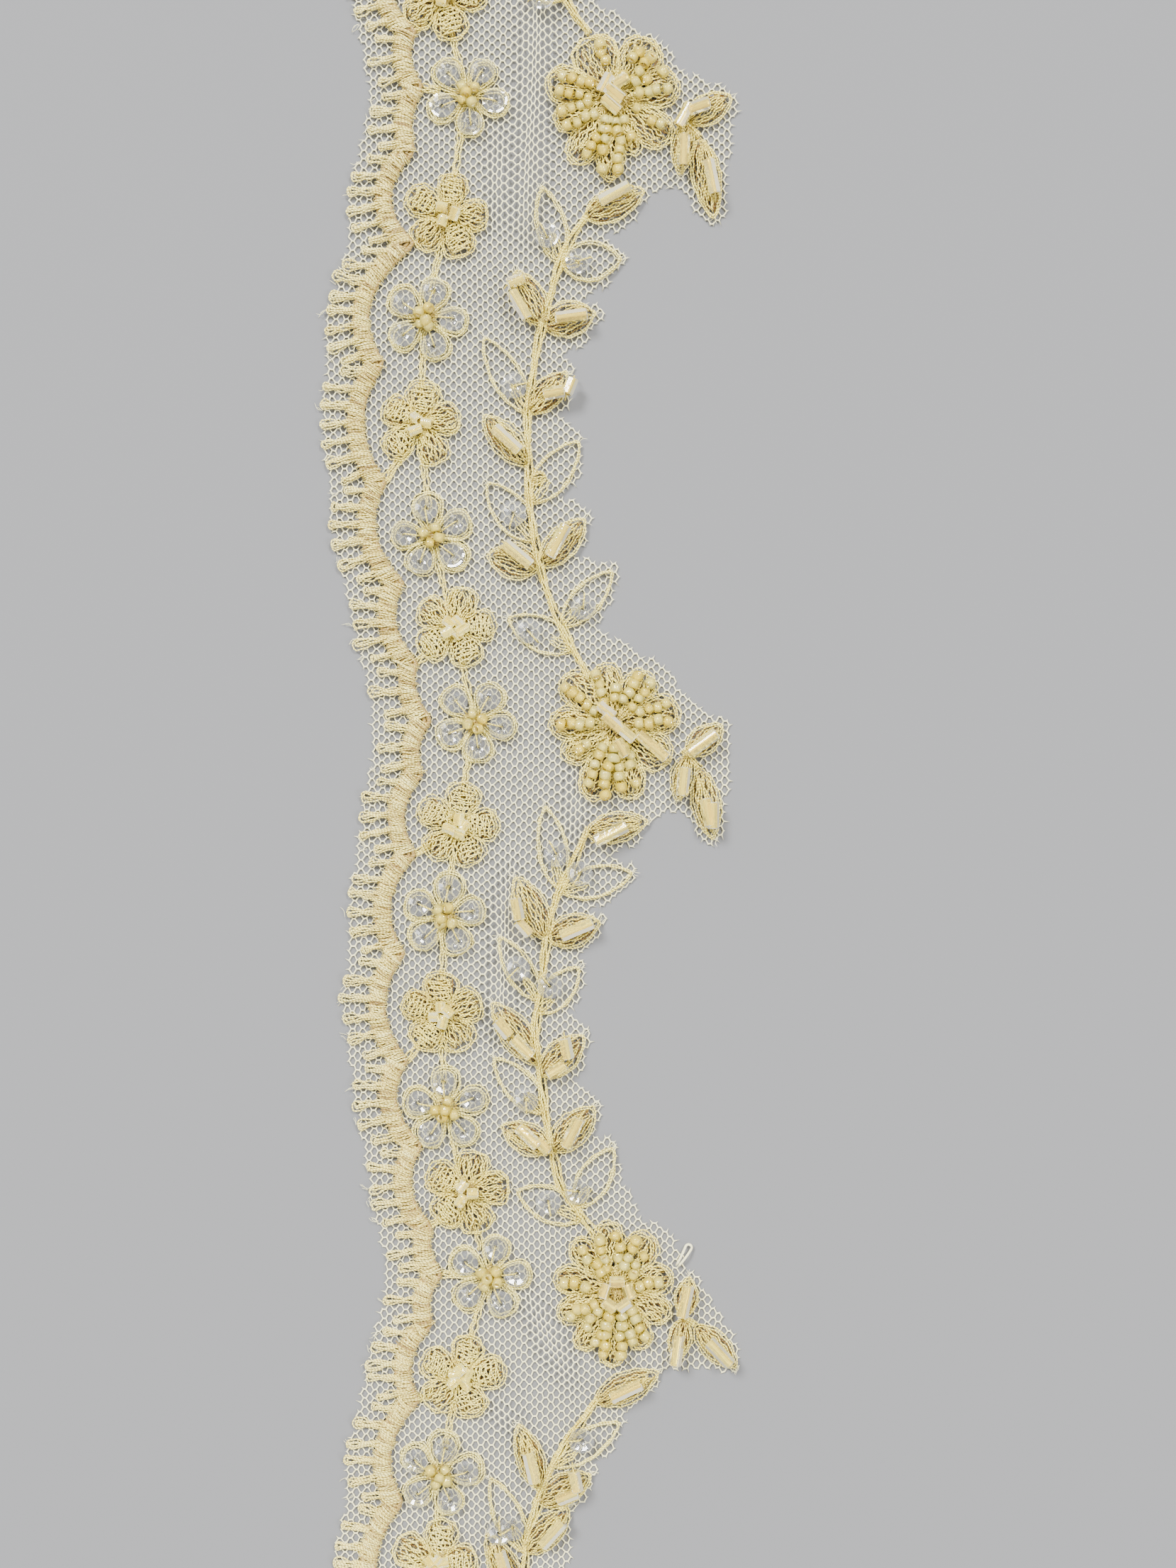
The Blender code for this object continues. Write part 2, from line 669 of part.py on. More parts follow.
def cut_edge():
    """The net's right edge from top to bottom, cut round leaves and flowers."""
    edge = []
    for number in range(3):
        flower = flower_edge(number)
        edge += vine_edge(f"vine_{number + 1}", flower[0])
        edge += flower + sprig_edge(f"sprig_{number + 1}")
    edge += vine_edge("vine_4", None)
    return [(min(x, HALF_WIDTH), y) for x, y in edge if abs(y) < HALF_LENGTH - 3.0]


def net_outline():
    """The cut outline of the net, anticlockwise from its top left corner."""
    left = []
    for k in range(FRINGE_STEPS + 1):
        y = HALF_LENGTH - 2.0 * HALF_LENGTH * k / FRINGE_STEPS
        left.append((fringe_edge(y), y))
    bottom = (BOTTOM_CORNER, -HALF_LENGTH)
    top = (TOP_CORNER, HALF_LENGTH)
    return left + [bottom] + [*reversed(cut_edge())] + [top]


def slice_net(bm, point, normal):
    parts = bm.verts[:] + bm.edges[:] + bm.faces[:]
    bmesh.ops.bisect_plane(bm, geom=parts, plane_co=point, plane_no=normal, dist=1e-5)


def build_net(skin):
    """The net ground, cut to its outline and laid with its ripples."""
    bm = bmesh.new()
    rim = [bm.verts.new((x, y, 0.0)) for x, y in net_outline()]
    bm.faces.new(rim).normal_update()
    bmesh.ops.triangulate(bm, faces=bm.faces[:])
    first, last = RIPPLE_COLUMNS
    for k in range(first, last + 1):
        slice_net(bm, (k * RIPPLE_GRID, 0.0, 0.0), (1.0, 0.0, 0.0))
    rows = int(HALF_LENGTH / NET_GRID)
    for k in range(-rows, rows + 1):
        slice_net(bm, (0.0, k * NET_GRID, 0.0), (0.0, 1.0, 0.0))
    bmesh.ops.triangulate(bm, faces=bm.faces[:])
    for vert in bm.verts:
        vert.co.z = lift(vert.co.x, vert.co.y)
    bm.normal_update()
    bmesh.ops.dissolve_limit(bm, angle_limit=0.002, verts=bm.verts[:], edges=bm.edges[:])
    bm.normal_update()
    bmesh.ops.triangulate(bm, faces=bm.faces[:])
    grown = bmesh.ops.extrude_face_region(bm, geom=bm.faces[:])
    for part in grown["geom"]:
        if isinstance(part, bmesh.types.BMVert):
            part.co.z += NET_THICK
    return add_object("net_ground", bm, skin)


def build_bugle(name, x, y, turn, length, skin):
    """A short six-sided glass tube lying on the stitching."""
    bm = bmesh.new()
    heading = math.radians(turn)
    ux, uy = math.cos(heading), math.sin(heading)
    base = BEAD_SEAT + max(lift(x, y), lift(x + 2 * ux, y + 2 * uy), lift(x - 2 * ux, y - 2 * uy))
    height = base + BUGLE_RADIUS
    half = 0.5 * length
    sections = (
        (-half, BUGLE_BORE),
        (-half, BUGLE_RADIUS - BUGLE_BEVEL),
        (BUGLE_BEVEL - half, BUGLE_RADIUS),
        (half - BUGLE_BEVEL, BUGLE_RADIUS),
        (half, BUGLE_RADIUS - BUGLE_BEVEL),
        (half, BUGLE_BORE),
    )
    sides = 6
    rings = []
    for along, radius in sections:
        ring = []
        for k in range(sides):
            angle = 2.0 * math.pi * (k + 0.5) / sides
            across = radius * math.cos(angle)
            up = radius * math.sin(angle)
            ring.append(bm.verts.new((x + ux * along - uy * across,
                                      y + uy * along + ux * across, height + up)))
        rings.append(ring)
    for a, b in zip(rings, rings[1:] + rings[:1]):
        for k in range(sides):
            n = (k + 1) % sides
            bm.faces.new((a[k], a[n], b[n], b[k]))
    return add_object(name, bm, skin)


def main():
    clear_scene()
    net = material("net_thread", (0.80, 0.76, 0.66), 0.8)
    satin = material("satin_thread", (0.74, 0.60, 0.42), 0.55)
    thread = material("gold_thread", (0.76, 0.65, 0.42), 0.55)
    glass = material("bead_glass", (0.82, 0.74, 0.50), 0.15, 0.3)
    build_net(net)
    build_border(satin)
    for number, (x, y, turn) in enumerate(SMALL_FLOWERS, 1):
        build_small_flower(f"small_flower_{number:02d}", x, y, turn, thread)
    for number, (x, y, petals) in enumerate(LARGE_FLOWERS, 1):
        build_large_flower(f"large_flower_{number}", x, y, petals, thread)
    for name in STEMS:
        build_stem(name, thread)
    for name, x, y, turn, length in BUGLES:
        build_bugle(name, x, y, turn, length, glass)


main()
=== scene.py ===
"""Looks of the beaded net lace edging: its net, stitching, beads and sequins, thread by thread.

Tables and working sizes are in millimetres, in the frame's axes: x runs across the edging, y along
it and z up. Heights of stitches are counted from the underside of the net, which the ripples lift.
"""
import functools
from math import atan, atan2, copysign, cos, dist, hypot, pi, radians, sin

import bmesh
import bpy
import numpy as np
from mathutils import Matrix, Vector
from mathutils.bvhtree import BVHTree


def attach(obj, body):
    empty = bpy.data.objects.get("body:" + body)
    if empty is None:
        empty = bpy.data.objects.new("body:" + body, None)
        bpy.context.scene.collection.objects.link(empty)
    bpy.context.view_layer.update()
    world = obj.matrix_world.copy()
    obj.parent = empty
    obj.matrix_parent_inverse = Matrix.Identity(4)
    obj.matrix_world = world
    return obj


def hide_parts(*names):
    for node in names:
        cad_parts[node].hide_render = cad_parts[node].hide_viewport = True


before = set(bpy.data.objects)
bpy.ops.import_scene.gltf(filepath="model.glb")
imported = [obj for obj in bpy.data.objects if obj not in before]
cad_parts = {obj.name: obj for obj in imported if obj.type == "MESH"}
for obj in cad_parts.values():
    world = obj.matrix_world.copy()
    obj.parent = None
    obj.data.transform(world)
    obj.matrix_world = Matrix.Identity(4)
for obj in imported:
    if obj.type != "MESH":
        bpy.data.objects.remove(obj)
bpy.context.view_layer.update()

MM = 0.001
TAU = 2.0 * pi
UP = np.array((0.0, 0.0, 1.0))
rng = np.random.default_rng(21)

# The frame's own sizes. Bars: spacing, length, width at the root, how far they fan out and lean,
# from how far they shorten towards a cusp, and to what share. Then a stem's step, and how far a
# ripple runs on past its ends
HALF_LENGTH = 132.0
HALF_WIDTH = 33.0
BAND_WIDTH = 2.6
BAR_PITCH = 2.95
BAR_LENGTH = 4.7
BAR_ROOT = 1.1
BAR_FAN = 0.5
BAR_LEAN = 0.08
BAR_EASE = 4.5
BAR_SHORT = 0.66
STEM_STEP = 2.0
RIPPLE_END = 6.0

# How the net is drawn together along a ripple: where it fades, how strongly, share of its width
GATHER_END = 1.5 * RIPPLE_END
GATHER_PULL = 0.36
GATHER_SHARE = 0.55

# Net: column spacing, mesh height, half of the flat side, a strand's half width and half height,
# height of its middle, how far corners stray, overlap at the seam, width of a cell's ring in
# strands and at most as a share of the cell, reach of the cut ends, and the height in metres from
# which rays look for the frame's net
NET_COLUMN = 0.83
NET_PITCH = 1.42
NET_FLAT = 0.2
NET_STRAND = 0.12
NET_RISE = 0.2
NET_MIDDLE = 0.31
NET_JITTER = 0.045
NET_SEAM = 0.01
NET_RING = 1.16
MOST_INSET = 0.45
WHISKER = (0.15, 0.75)
OVERHEAD = 0.1

# Threads: radii, sides, length of a twist, height of the bed under the stitches, point spacing,
# gap between loops, spacing of the band's stitches, and of a stem's points
THREAD = 0.14
FIBRE = 0.045
SEWING = 0.13
SIDES = 5
TWIST = 0.5
BED = 0.64
STEP = 0.46
LOOP_GAP = 0.34
BAND_STITCH = 0.29
STEM_FINE = 0.45

# Heights over the bed: padding stitches, the rim of beaded petals and open leaves, cover stitches
PAD_UP = 0.08
RIM_UP = 0.42
COVER_UP = 0.5

# Small flowers' petals: reach, half width with beads and when filled. Large flowers' petals: where
# they are widest, and how much they overlap
PETAL_REACH = 6.95
PETAL_HALF = 2.42
FILLED_HALF = 2.8
WIDEST_AT = 0.64
PETAL_OVERLAP = 1.12

# The band: where its padding threads lie across it, and its layers' slant, crown and height
BAND_PADDING = (0.16, 0.38, 0.62, 0.84)
BAND_LAYERS = ((-0.5, 0.8, 0.02), (0.55, 1.05, 0.1))

# Hairpins of a bar: half width, how much shorter than the bar, height
HAIRPINS = ((0.66, 0.0, 0.08), (0.44, 0.15, 0.24), (0.2, 0.45, 0.42))

# Threads of a stem: distance to one side, height
STEM_THREADS = ((-0.5, 0.1), (0.0, 0.1), (0.5, 0.1), (-0.38, 0.42), (0.1, 0.5), (0.45, 0.42),
                (-0.1, 0.74))

# Beads and sequins: sizes and heights, sides, a row of seeds' pitch, the share of them left out,
# and how far from a flower's centre and from a petal's tip it starts and stops
BUGLE_RADIUS = 1.0
BUGLE_BORE = 0.55
BUGLE_BEVEL = 0.16
BUGLE_MIDDLE = 3.2
BUGLE_SIDES = 12
SEED_RADIUS = 0.94
SEED_HALF = 0.7
SEED_BORE = 0.36
SEED_PITCH = 1.48
SEED_MISSING = 0.05
SEED_START = 3.6
SEED_STOP = 1.3
PETAL_SEED_UP = 2.15
MIDDLE_SEED_UP = 2.2
TOP_SEED_UP = 2.75
CUT_BEAD_UP = 2.25
SEED_SIDES = 10
SEED_ROUND = 8
SEQUIN_RADIUS = 2.0
SEQUIN_SIDES = 18
SEQUIN_UP = 1.5
SEQUIN_AWAY = 4.45

# Threads over a sequin, on a petal and on a leaf: distances along it, heights
PETAL_BAR = np.array(((0.1, -0.3, -1.2, -2.2, -2.9), (1.0, 1.75, 2.0, 2.05, 1.6)))
LEAF_BAR = np.array(((0.1, -0.3, -1.2, -2.1, -2.4), (1.0, 1.75, 2.0, 1.95, 1.1)))

# Camera: the photograph's frame, where it looks, and its lens
FRAME_HEIGHT = 245.8
LOOK_X = 9.33
LOOK_Z = 1.0
LENS = 50.0
SENSOR = 36.0

# Floor: half its side in metres and its colour. Sky: colour and strength
FLOOR = 3.0
FLOOR_COLOUR = (0.172, 0.174, 0.18, 1.0)
SKY_COLOUR = (1.0, 0.985, 0.95, 1.0)
SKY_STRENGTH = 1.3

# Studio light: name, direction it comes from, how wide it looks in radians, strength
LAMPS = (
    ("key", (-0.4, 0.5, 0.8), 0.3, 5.8),
    ("fill", (0.7, -0.3, 0.7), 0.4, 1.2),
    ("sparkle", (0.35, 0.45, 0.85), 0.2, 3.2),
)

# Soft ripples of the free net: start x, y, end x, y, half width, height
RIPPLES = (
    (1.5, 126.0, 0.0, 88.0, 4.2, 1.1), (-4.6, 101.0, -4.6, 90.0, 3.4, 0.7),
    (-3.0, -15.0, -4.6, -37.0, 4.2, 1.4), (7.4, 2.0, 7.0, -7.0, 3.6, 0.9),
    (0.6, -82.0, 5.6, -92.0, 4.0, 1.2), (-5.5, -98.0, -2.0, -101.0, 3.6, 0.9),
)

# Scallops of the border: inner cusp x, y, and how far the curve to the next cusp swings out
SCALLOPS = (
    (-21.5, 142.0, 2.6), (-19.7, 128.4, 2.6), (-17.3, 118.2, 1.7), (-16.2, 109.3, 1.4),
    (-17.5, 99.0, 4.1), (-17.3, 84.6, 4.9), (-22.3, 66.0, 3.6), (-22.1, 47.3, 3.2),
    (-19.3, 31.6, 2.6), (-17.1, 19.0, 1.7), (-14.7, 10.1, 1.7), (-16.2, 1.6, 2.7),
    (-17.3, -11.0, 3.4), (-19.1, -26.6, 3.6), (-18.6, -43.4, 3.2), (-16.2, -56.6, 2.9),
    (-14.8, -69.3, 1.3), (-13.1, -76.8, 1.5), (-14.7, -84.9, 2.7), (-16.7, -96.6, 3.5),
    (-19.3, -112.7, 3.1), (-21.9, -129.3, 3.0), (-22.5, -145.0, 0.0),
)

# Small flowers along the border: x, y, turn of the first petal in degrees. Every second one
# carries sequins, the others are filled with thread.
SMALL_FLOWERS = (
    (-13.6, 123.4, 4), (-9.5, 107.9, -13), (-12.8, 89.0, 5), (-16.2, 72.9, 0), (-17.0, 56.4, 7),
    (-15.2, 38.8, 30), (-11.6, 24.6, 4), (-8.4, 9.8, -12), (-11.1, -6.6, 6), (-13.1, -20.7, 10),
    (-13.7, -36.0, 16), (-13.0, -51.0, 22), (-9.8, -64.0, 8), (-6.2, -77.1, 5), (-10.7, -92.7, 5),
    (-14.0, -108.2, 5), (-14.4, -122.1, 5),
)

# Large flowers: centre x, y, and for each petal its direction in degrees, its reach, and its rows
# of seed beads: one row left or right of the middle, one in the middle, two, or none
LARGE_FLOWERS = (
    (13.3, 107.3, (
        (17, 10.6, "two"), (54, 11.1, "two"), (113, 10.6, "right"), (165, 10.9, "two"),
        (203, 10.0, "two"), (238, 11.9, "left"), (268, 12.8, "two"), (292, 9.4, "middle"),
        (320, 11.1, "left"),
    )),
    (13.6, 9.3, (
        (14, 10.3, "two"), (57, 9.8, "two"), (102, 9.8, "two"), (135, 11.1, "left"),
        (180, 10.3, "middle"), (212, 9.6, "middle"), (253, 12.4, "two"), (282, 12.0, "two"),
        (323, 10.3, "none"),
    )),
    (13.8, -79.3, (
        (14, 9.1, "middle"), (60, 10.3, "two"), (99, 10.9, "two"), (129, 10.4, "middle"),
        (168, 10.0, "middle"), (205, 10.0, "middle"), (238, 11.1, "two"), (266, 12.2, "two"),
        (295, 10.2, "two"), (333, 9.4, "none"),
    )),
)

# Sides of the middle on which a petal's rows of seed beads lie
SEED_ROWS = {"two": (-1.0, 1.0), "left": (1.0,), "right": (-1.0,), "middle": (0.0,), "none": ()}

# Vine stems: points x, y from top to bottom
STEMS = {
    "vine_1": ((3.3, 131.8), (6.1, 123.0), (8.4, 119.4)),
    "vine_2": (
        (9.4, 89.4), (6.1, 84.6), (3.3, 76.2), (1.4, 68.4), (0.0, 59.0), (0.0, 49.6), (0.7, 39.6),
        (3.3, 29.0), (6.1, 22.9), (8.5, 18.4),
    ),
    "vine_3": (
        (9.4, -6.8), (6.6, -13.2), (3.6, -20.4), (2.2, -30.4), (1.1, -39.3), (2.2, -48.2),
        (3.6, -57.1), (5.5, -63.8), (9.2, -68.9),
    ),
    "vine_4": (
        (11.1, -96.0), (6.1, -103.2), (2.5, -109.3), (1.1, -114.3), (-0.4, -119.3), (-0.8, -131.8),
    ),
    "sprig_1": ((24.0, 104.6), (26.8, 101.3)),
    "sprig_2": ((24.2, 5.4), (26.9, 2.4)),
    "sprig_3": ((23.7, -83.2), (26.2, -84.9)),
}

# Stems that run on into a large flower, and how far
JOINED = ("vine_1", "vine_2", "vine_3")
STEM_REACH = 2.2

# Leaves of each stem: side (l left, r right, e end; seen along the stem from its top), distance of
# the root from the top, direction in degrees, length, width, and how it is worked
LEAVES = {
    "vine_1": (
        ("r", 9, 159, 7.7, 5.2, "open"), ("l", 9, 58, 8.8, 5.2, "open"),
    ),
    "vine_2": (
        ("l", 0, 26, 10.4, 5.2, "full"), ("r", 8, 103, 12.2, 4.8, "open"),
        ("l", 8, 5, 9.6, 6.3, "open"), ("r", 18, 116, 9.4, 5.2, "full"),
        ("l", 18, 13, 8.6, 6.0, "full"), ("r", 32, 120, 13.8, 4.9, "open"),
        ("l", 32, 47, 8.8, 4.8, "full"), ("r", 40, 132, 10.4, 4.8, "full"),
        ("l", 46, 52, 12.4, 5.4, "open"), ("r", 52, 129, 11.9, 5.6, "open"),
        ("l", 56, 47, 10.2, 5.0, "full"), ("r", 56, 168, 8.5, 5.8, "full"),
        ("l", 66, 48, 11.8, 4.8, "open"), ("r", 70, 154, 11.4, 5.6, "open"),
    ),
    "vine_3": (
        ("l", 0, 11, 9.8, 4.8, "full"), ("r", 10, 100, 13.4, 4.8, "open"),
        ("l", 10, 14, 11.6, 5.0, "open"), ("r", 18, 117, 10.9, 5.2, "full"),
        ("l", 18, 18, 8.7, 5.4, "full"), ("r", 28, 121, 11.9, 4.4, "open"),
        ("l", 30, 48, 9.8, 4.8, "open"), ("r", 38, 126, 12.0, 5.0, "full"),
        ("l", 40, 43, 9.4, 5.2, "full"), ("r", 46, 133, 11.9, 5.0, "open"),
        ("r", 52, 153, 8.9, 5.0, "full"), ("l", 52, 46, 9.5, 5.2, "full"),
        ("l", 62, 58, 11.2, 5.2, "open"), ("r", 64, 157, 11.2, 5.6, "open"),
    ),
    "vine_4": (
        ("l", 0, 25, 10.8, 5.0, "full"), ("l", 12, 33, 12.6, 4.8, "open"),
        ("r", 16, 109, 11.0, 4.4, "full"), ("l", 18, 28, 9.4, 5.0, "full"),
        ("r", 26, 115, 12.8, 4.6, "open"), ("l", 26, 46, 9.8, 5.0, "full"),
        ("r", 34, 117, 12.6, 4.8, "full"),
    ),
    "sprig_1": (
        ("l", 0, 30, 8.2, 5.0, "full"), ("r", 0, -97, 8.2, 3.6, "full"),
        ("e", 0, -80, 12.8, 4.6, "full"),
    ),
    "sprig_2": (
        ("l", 0, 40, 7.2, 4.4, "full"), ("r", 0, -102, 7.4, 3.6, "full"),
        ("e", 0, -80, 11.2, 4.6, "full"),
    ),
    "sprig_3": (
        ("l", 0, 82, 6.4, 3.8, "full"), ("r", 0, -100, 7.0, 3.8, "full"),
        ("e", 0, -46, 9.0, 4.4, "full"),
    ),
}

# Buds, smaller than leaves: root x, y, turn in degrees, length, width
BUDS = {"vine_2": ((0.2, 47.7, 10, 2.7, 2.3),)}

# A loop of loose net yarn by the last sprig: root x, y, turn in degrees, length, width
STRAY_LOOP = (23.3, -75.6, 58, 3.4, 1.0)

# The frame's bugle beads, bugle_01 to bugle_29: centre x, y, turn in degrees, length
BUGLES = (
    (13.4, 92.0, 29, 5.4), (-1.3, 74.6, -60, 5.1), (6.7, 72.9, 8, 5.0), (4.0, 61.0, 11, 3.4),
    (-3.3, 53.7, -43, 5.6), (4.6, 37.9, 62, 5.6), (-1.6, 35.8, -40, 5.4), (12.9, -7.7, 27, 5.6),
    (-1.7, -19.4, -79, 3.6), (7.6, -22.7, 23, 5.6), (-3.9, -38.0, -51, 3.2),
    (-0.9, -41.0, -45, 4.0), (6.0, -41.2, -79, 3.4), (0.0, -54.9, -44, 4.3), (6.9, -54.3, 63, 5.0),
    (15.3, -94.6, 25, 5.3), (0.5, -106.5, -77, 5.1), (7.4, -108.6, -77, 3.4),
    (3.8, -116.8, 49, 5.1), (-3.8, -121.6, -72, 4.4), (26.6, 105.6, 20, 3.6),
    (24.2, 98.8, 88, 5.0), (28.6, 94.6, -79, 5.6), (27.2, 6.4, 36, 5.2), (24.2, 0.4, 84, 4.6),
    (28.0, -4.4, -80, 4.6), (24.5, -80.6, 78, 5.0), (23.2, -88.2, 82, 5.0),
    (29.8, -88.6, -47, 5.2),
)

# Furthest that a leaf's crown leans towards its beads, as a share of its half width
MOST_LEAN = 0.7

# Short bugles that lie beside others or at a large flower's centre: x, y, turn, length, height
SHORT_BUGLES = (
    (-1.9, 78.4, 24, 2.8, 3.2), (6.5, 62.0, 68, 2.7, 3.1), (-0.7, -22.4, -48, 3.0, 2.9),
    (4.4, -44.6, 30, 3.3, 2.9), (2.3, -56.4, -45, 2.7, 2.9), (6.1, -111.1, 22, 3.6, 2.9),
    (24.4, 104.3, 60, 4.0, 3.0), (28.8, -4.9, 90, 4.2, 3.2), (19.4, 5.9, -41, 5.9, 3.0),
    (12.0, 109.2, 62, 3.2, 3.1), (13.6, 107.7, -38, 3.4, 3.2), (13.0, 105.9, -42, 3.4, 3.1),
    (14.4, 109.6, 30, 2.6, 3.0), (12.2, 11.4, -38, 3.2, 3.0), (13.2, 9.6, -42, 3.8, 3.2),
    (15.2, 8.0, -40, 3.6, 3.1), (14.6, 5.6, -60, 3.0, 3.0),
)
# A ring of them: centre x, y, how many, distance from the centre, length, height
RING_BUGLES = (13.8, -79.6, 5, 2.0, 2.4, 3.0)

# Linking threads between small flowers, and from them to the border's cusps: how far from a
# flower's centre they start, and how far each lies to one side
LINK_START = 4.2
LINK_OFFS = (-0.42, -0.1, 0.35)
CUSP_LINK_START = 4.4
CUSP_LINK_OFFS = (-0.5, -0.15, 0.2, 0.5)

# Threads from small flowers to the border: number of the flower, place of the cusp in SCALLOPS
CUSP_LINKS = (
    (1, 2), (2, 3), (3, 5), (5, 7), (7, 9), (9, 12), (11, 14), (13, 16), (14, 17), (15, 19),
    (17, 21),
)

# Sequins on leaves: x, y
LEAF_SEQUINS = (
    (2.2, 122.9), (2.9, 85.7), (7.7, 81.8), (-2.3, 62.3), (-2.3, 42.3), (8.6, 27.6), (-0.1, 24.0),
    (4.4, -11.0), (8.1, -14.0), (-1.7, -28.8), (3.3, -31.6), (-0.4, -49.3), (7.7, -63.8),
    (3.1, -65.4), (8.3, -102.7), (-4.5, -117.1), (-2.6, -116.4),
)


# The frame's own curves

def smooth_step(value):
    held = np.clip(value, 0.0, 1.0)
    return held * held * (3.0 - 2.0 * held)


def along_ripple(x, y, ends, reach):
    """A ripple's length, the distance from its line and how much of it is left there."""
    x0, y0, x1, y1 = ends
    run = hypot(x1 - x0, y1 - y0)
    along = ((x - x0) * (x1 - x0) + (y - y0) * (y1 - y0)) / run
    across = ((x - x0) * (y1 - y0) - (y - y0) * (x1 - x0)) / run
    fade = smooth_step(np.minimum(along + reach, run + reach - along) / (2 * reach))
    return run, across, fade


def lift(x, y):
    """Height of the net's underside over the surface: zero but for the ripples."""
    height = np.zeros_like(np.asarray(x, float))
    for *ends, half, peak in RIPPLES:
        _, across, fade = along_ripple(x, y, ends, RIPPLE_END)
        wave = np.cos(0.5 * pi * np.minimum(np.abs(across) / half, 1.0)) ** 2
        height = height + peak * fade * wave
    return height


def inner_edge(y):
    """x of the border's inner edge and its slope dx/dy."""
    for (x0, y0, swing), (x1, y1, _) in zip(SCALLOPS, SCALLOPS[1:]):
        if y1 <= y <= y0:
            t = (y0 - y) / (y0 - y1)
            x = x0 + t * (x1 - x0) - 4.0 * swing * t * (1.0 - t)
            slope = -(x1 - x0 - 4.0 * swing * (1.0 - 2.0 * t)) / (y0 - y1)
            return x, slope
    return SCALLOPS[0][0], 0.0


def outer_edge(y):
    """x of the band's outer edge."""
    x, slope = inner_edge(y)
    return x - BAND_WIDTH * hypot(1.0, slope)


def bar_stations():
    """y of the middle of every bar outside the band, from the top end to the bottom end."""
    middles = []
    for (x0, y0, swing), (x1, y1, _) in zip(SCALLOPS, SCALLOPS[1:]):
        arc = hypot(y0 - y1, x1 - x0) + 2.6 * swing ** 2 / (y0 - y1)
        bars = round(arc / BAR_PITCH)
        middles += [y0 + (y1 - y0) * (k + 0.5) / bars for k in range(bars)]
    return [y for y in middles if abs(y) < HALF_LENGTH - 1.2]


def walked(path):
    """How far each point of a path lies along it."""
    return np.concatenate(([0.0], np.cumsum(np.linalg.norm(np.diff(path, axis=0), axis=1))))


def smooth_path(points, step):
    """Points at even steps along a smooth curve through the given ones."""
    ends = np.array([points[0], *points, points[-1]], float)
    fine = []
    for p, q, r, s in zip(ends, ends[1:], ends[2:], ends[3:]):
        for t in np.arange(12) / 12.0:
            fine.append(0.5 * (2 * q + (r - p) * t + (2 * p - 5 * q + 4 * r - s) * t * t
                               + (3 * q - p - 3 * r + s) * t ** 3))
    fine = np.array(fine + [ends[-1]])
    run = walked(fine)
    spots = np.linspace(0.0, run[-1], max(2, round(run[-1] / step) + 1))
    return np.stack([np.interp(spots, run, column) for column in fine.T], axis=1)


def leaf_roots(name):
    """Each leaf's root, heading, length, width and kind."""
    spots = smooth_path(STEMS[name], STEM_STEP)
    rows = []
    for side, along, turn, length, width, kind in LEAVES[name]:
        k = min(round(along / STEM_STEP), len(spots) - 2)
        root = spots[-1] if side == "e" else 0.5 * (spots[k] + spots[k + 1])
        rows.append((root, radians(turn), length, width, kind))
    return rows


# Meshes

def linked(name, data):
    """An object of this data, put in the scene."""
    made = bpy.data.objects.new(name, data)
    bpy.context.scene.collection.objects.link(made)
    return made


def add_piece(name, verts, quads, tris, skin, uvs=None, tint=None, smooth=True):
    """A mesh object in metres from points in millimetres, its quads before its triangles."""
    mesh = bpy.data.meshes.new(name)
    quads = np.asarray(quads, np.int32).reshape(-1, 4)
    tris = np.asarray(tris, np.int32).reshape(-1, 3)
    mesh.vertices.add(len(verts))
    mesh.vertices.foreach_set("co", (np.asarray(verts, float) * MM).astype(np.float32).ravel())
    corners = np.concatenate((quads.ravel(), tris.ravel()))
    mesh.loops.add(len(corners))
    mesh.loops.foreach_set("vertex_index", corners)
    starts = np.concatenate((np.arange(len(quads)) * 4, quads.size + np.arange(len(tris)) * 3))
    mesh.polygons.add(len(starts))
    mesh.polygons.foreach_set("loop_start", starts.astype(np.int32))
    mesh.polygons.foreach_set("use_smooth", np.full(len(starts), smooth))
    mesh.update(calc_edges=True)
    if uvs is not None:
        mesh.uv_layers.new(name="thread").data.foreach_set("uv", uvs.astype(np.float32).ravel())
    if tint is not None:
        shade = mesh.attributes.new("tint", "FLOAT", "POINT")
        shade.data.foreach_set("value", tint.astype(np.float32))
    mesh.materials.append(skin)
    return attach(linked(name, mesh), "root")


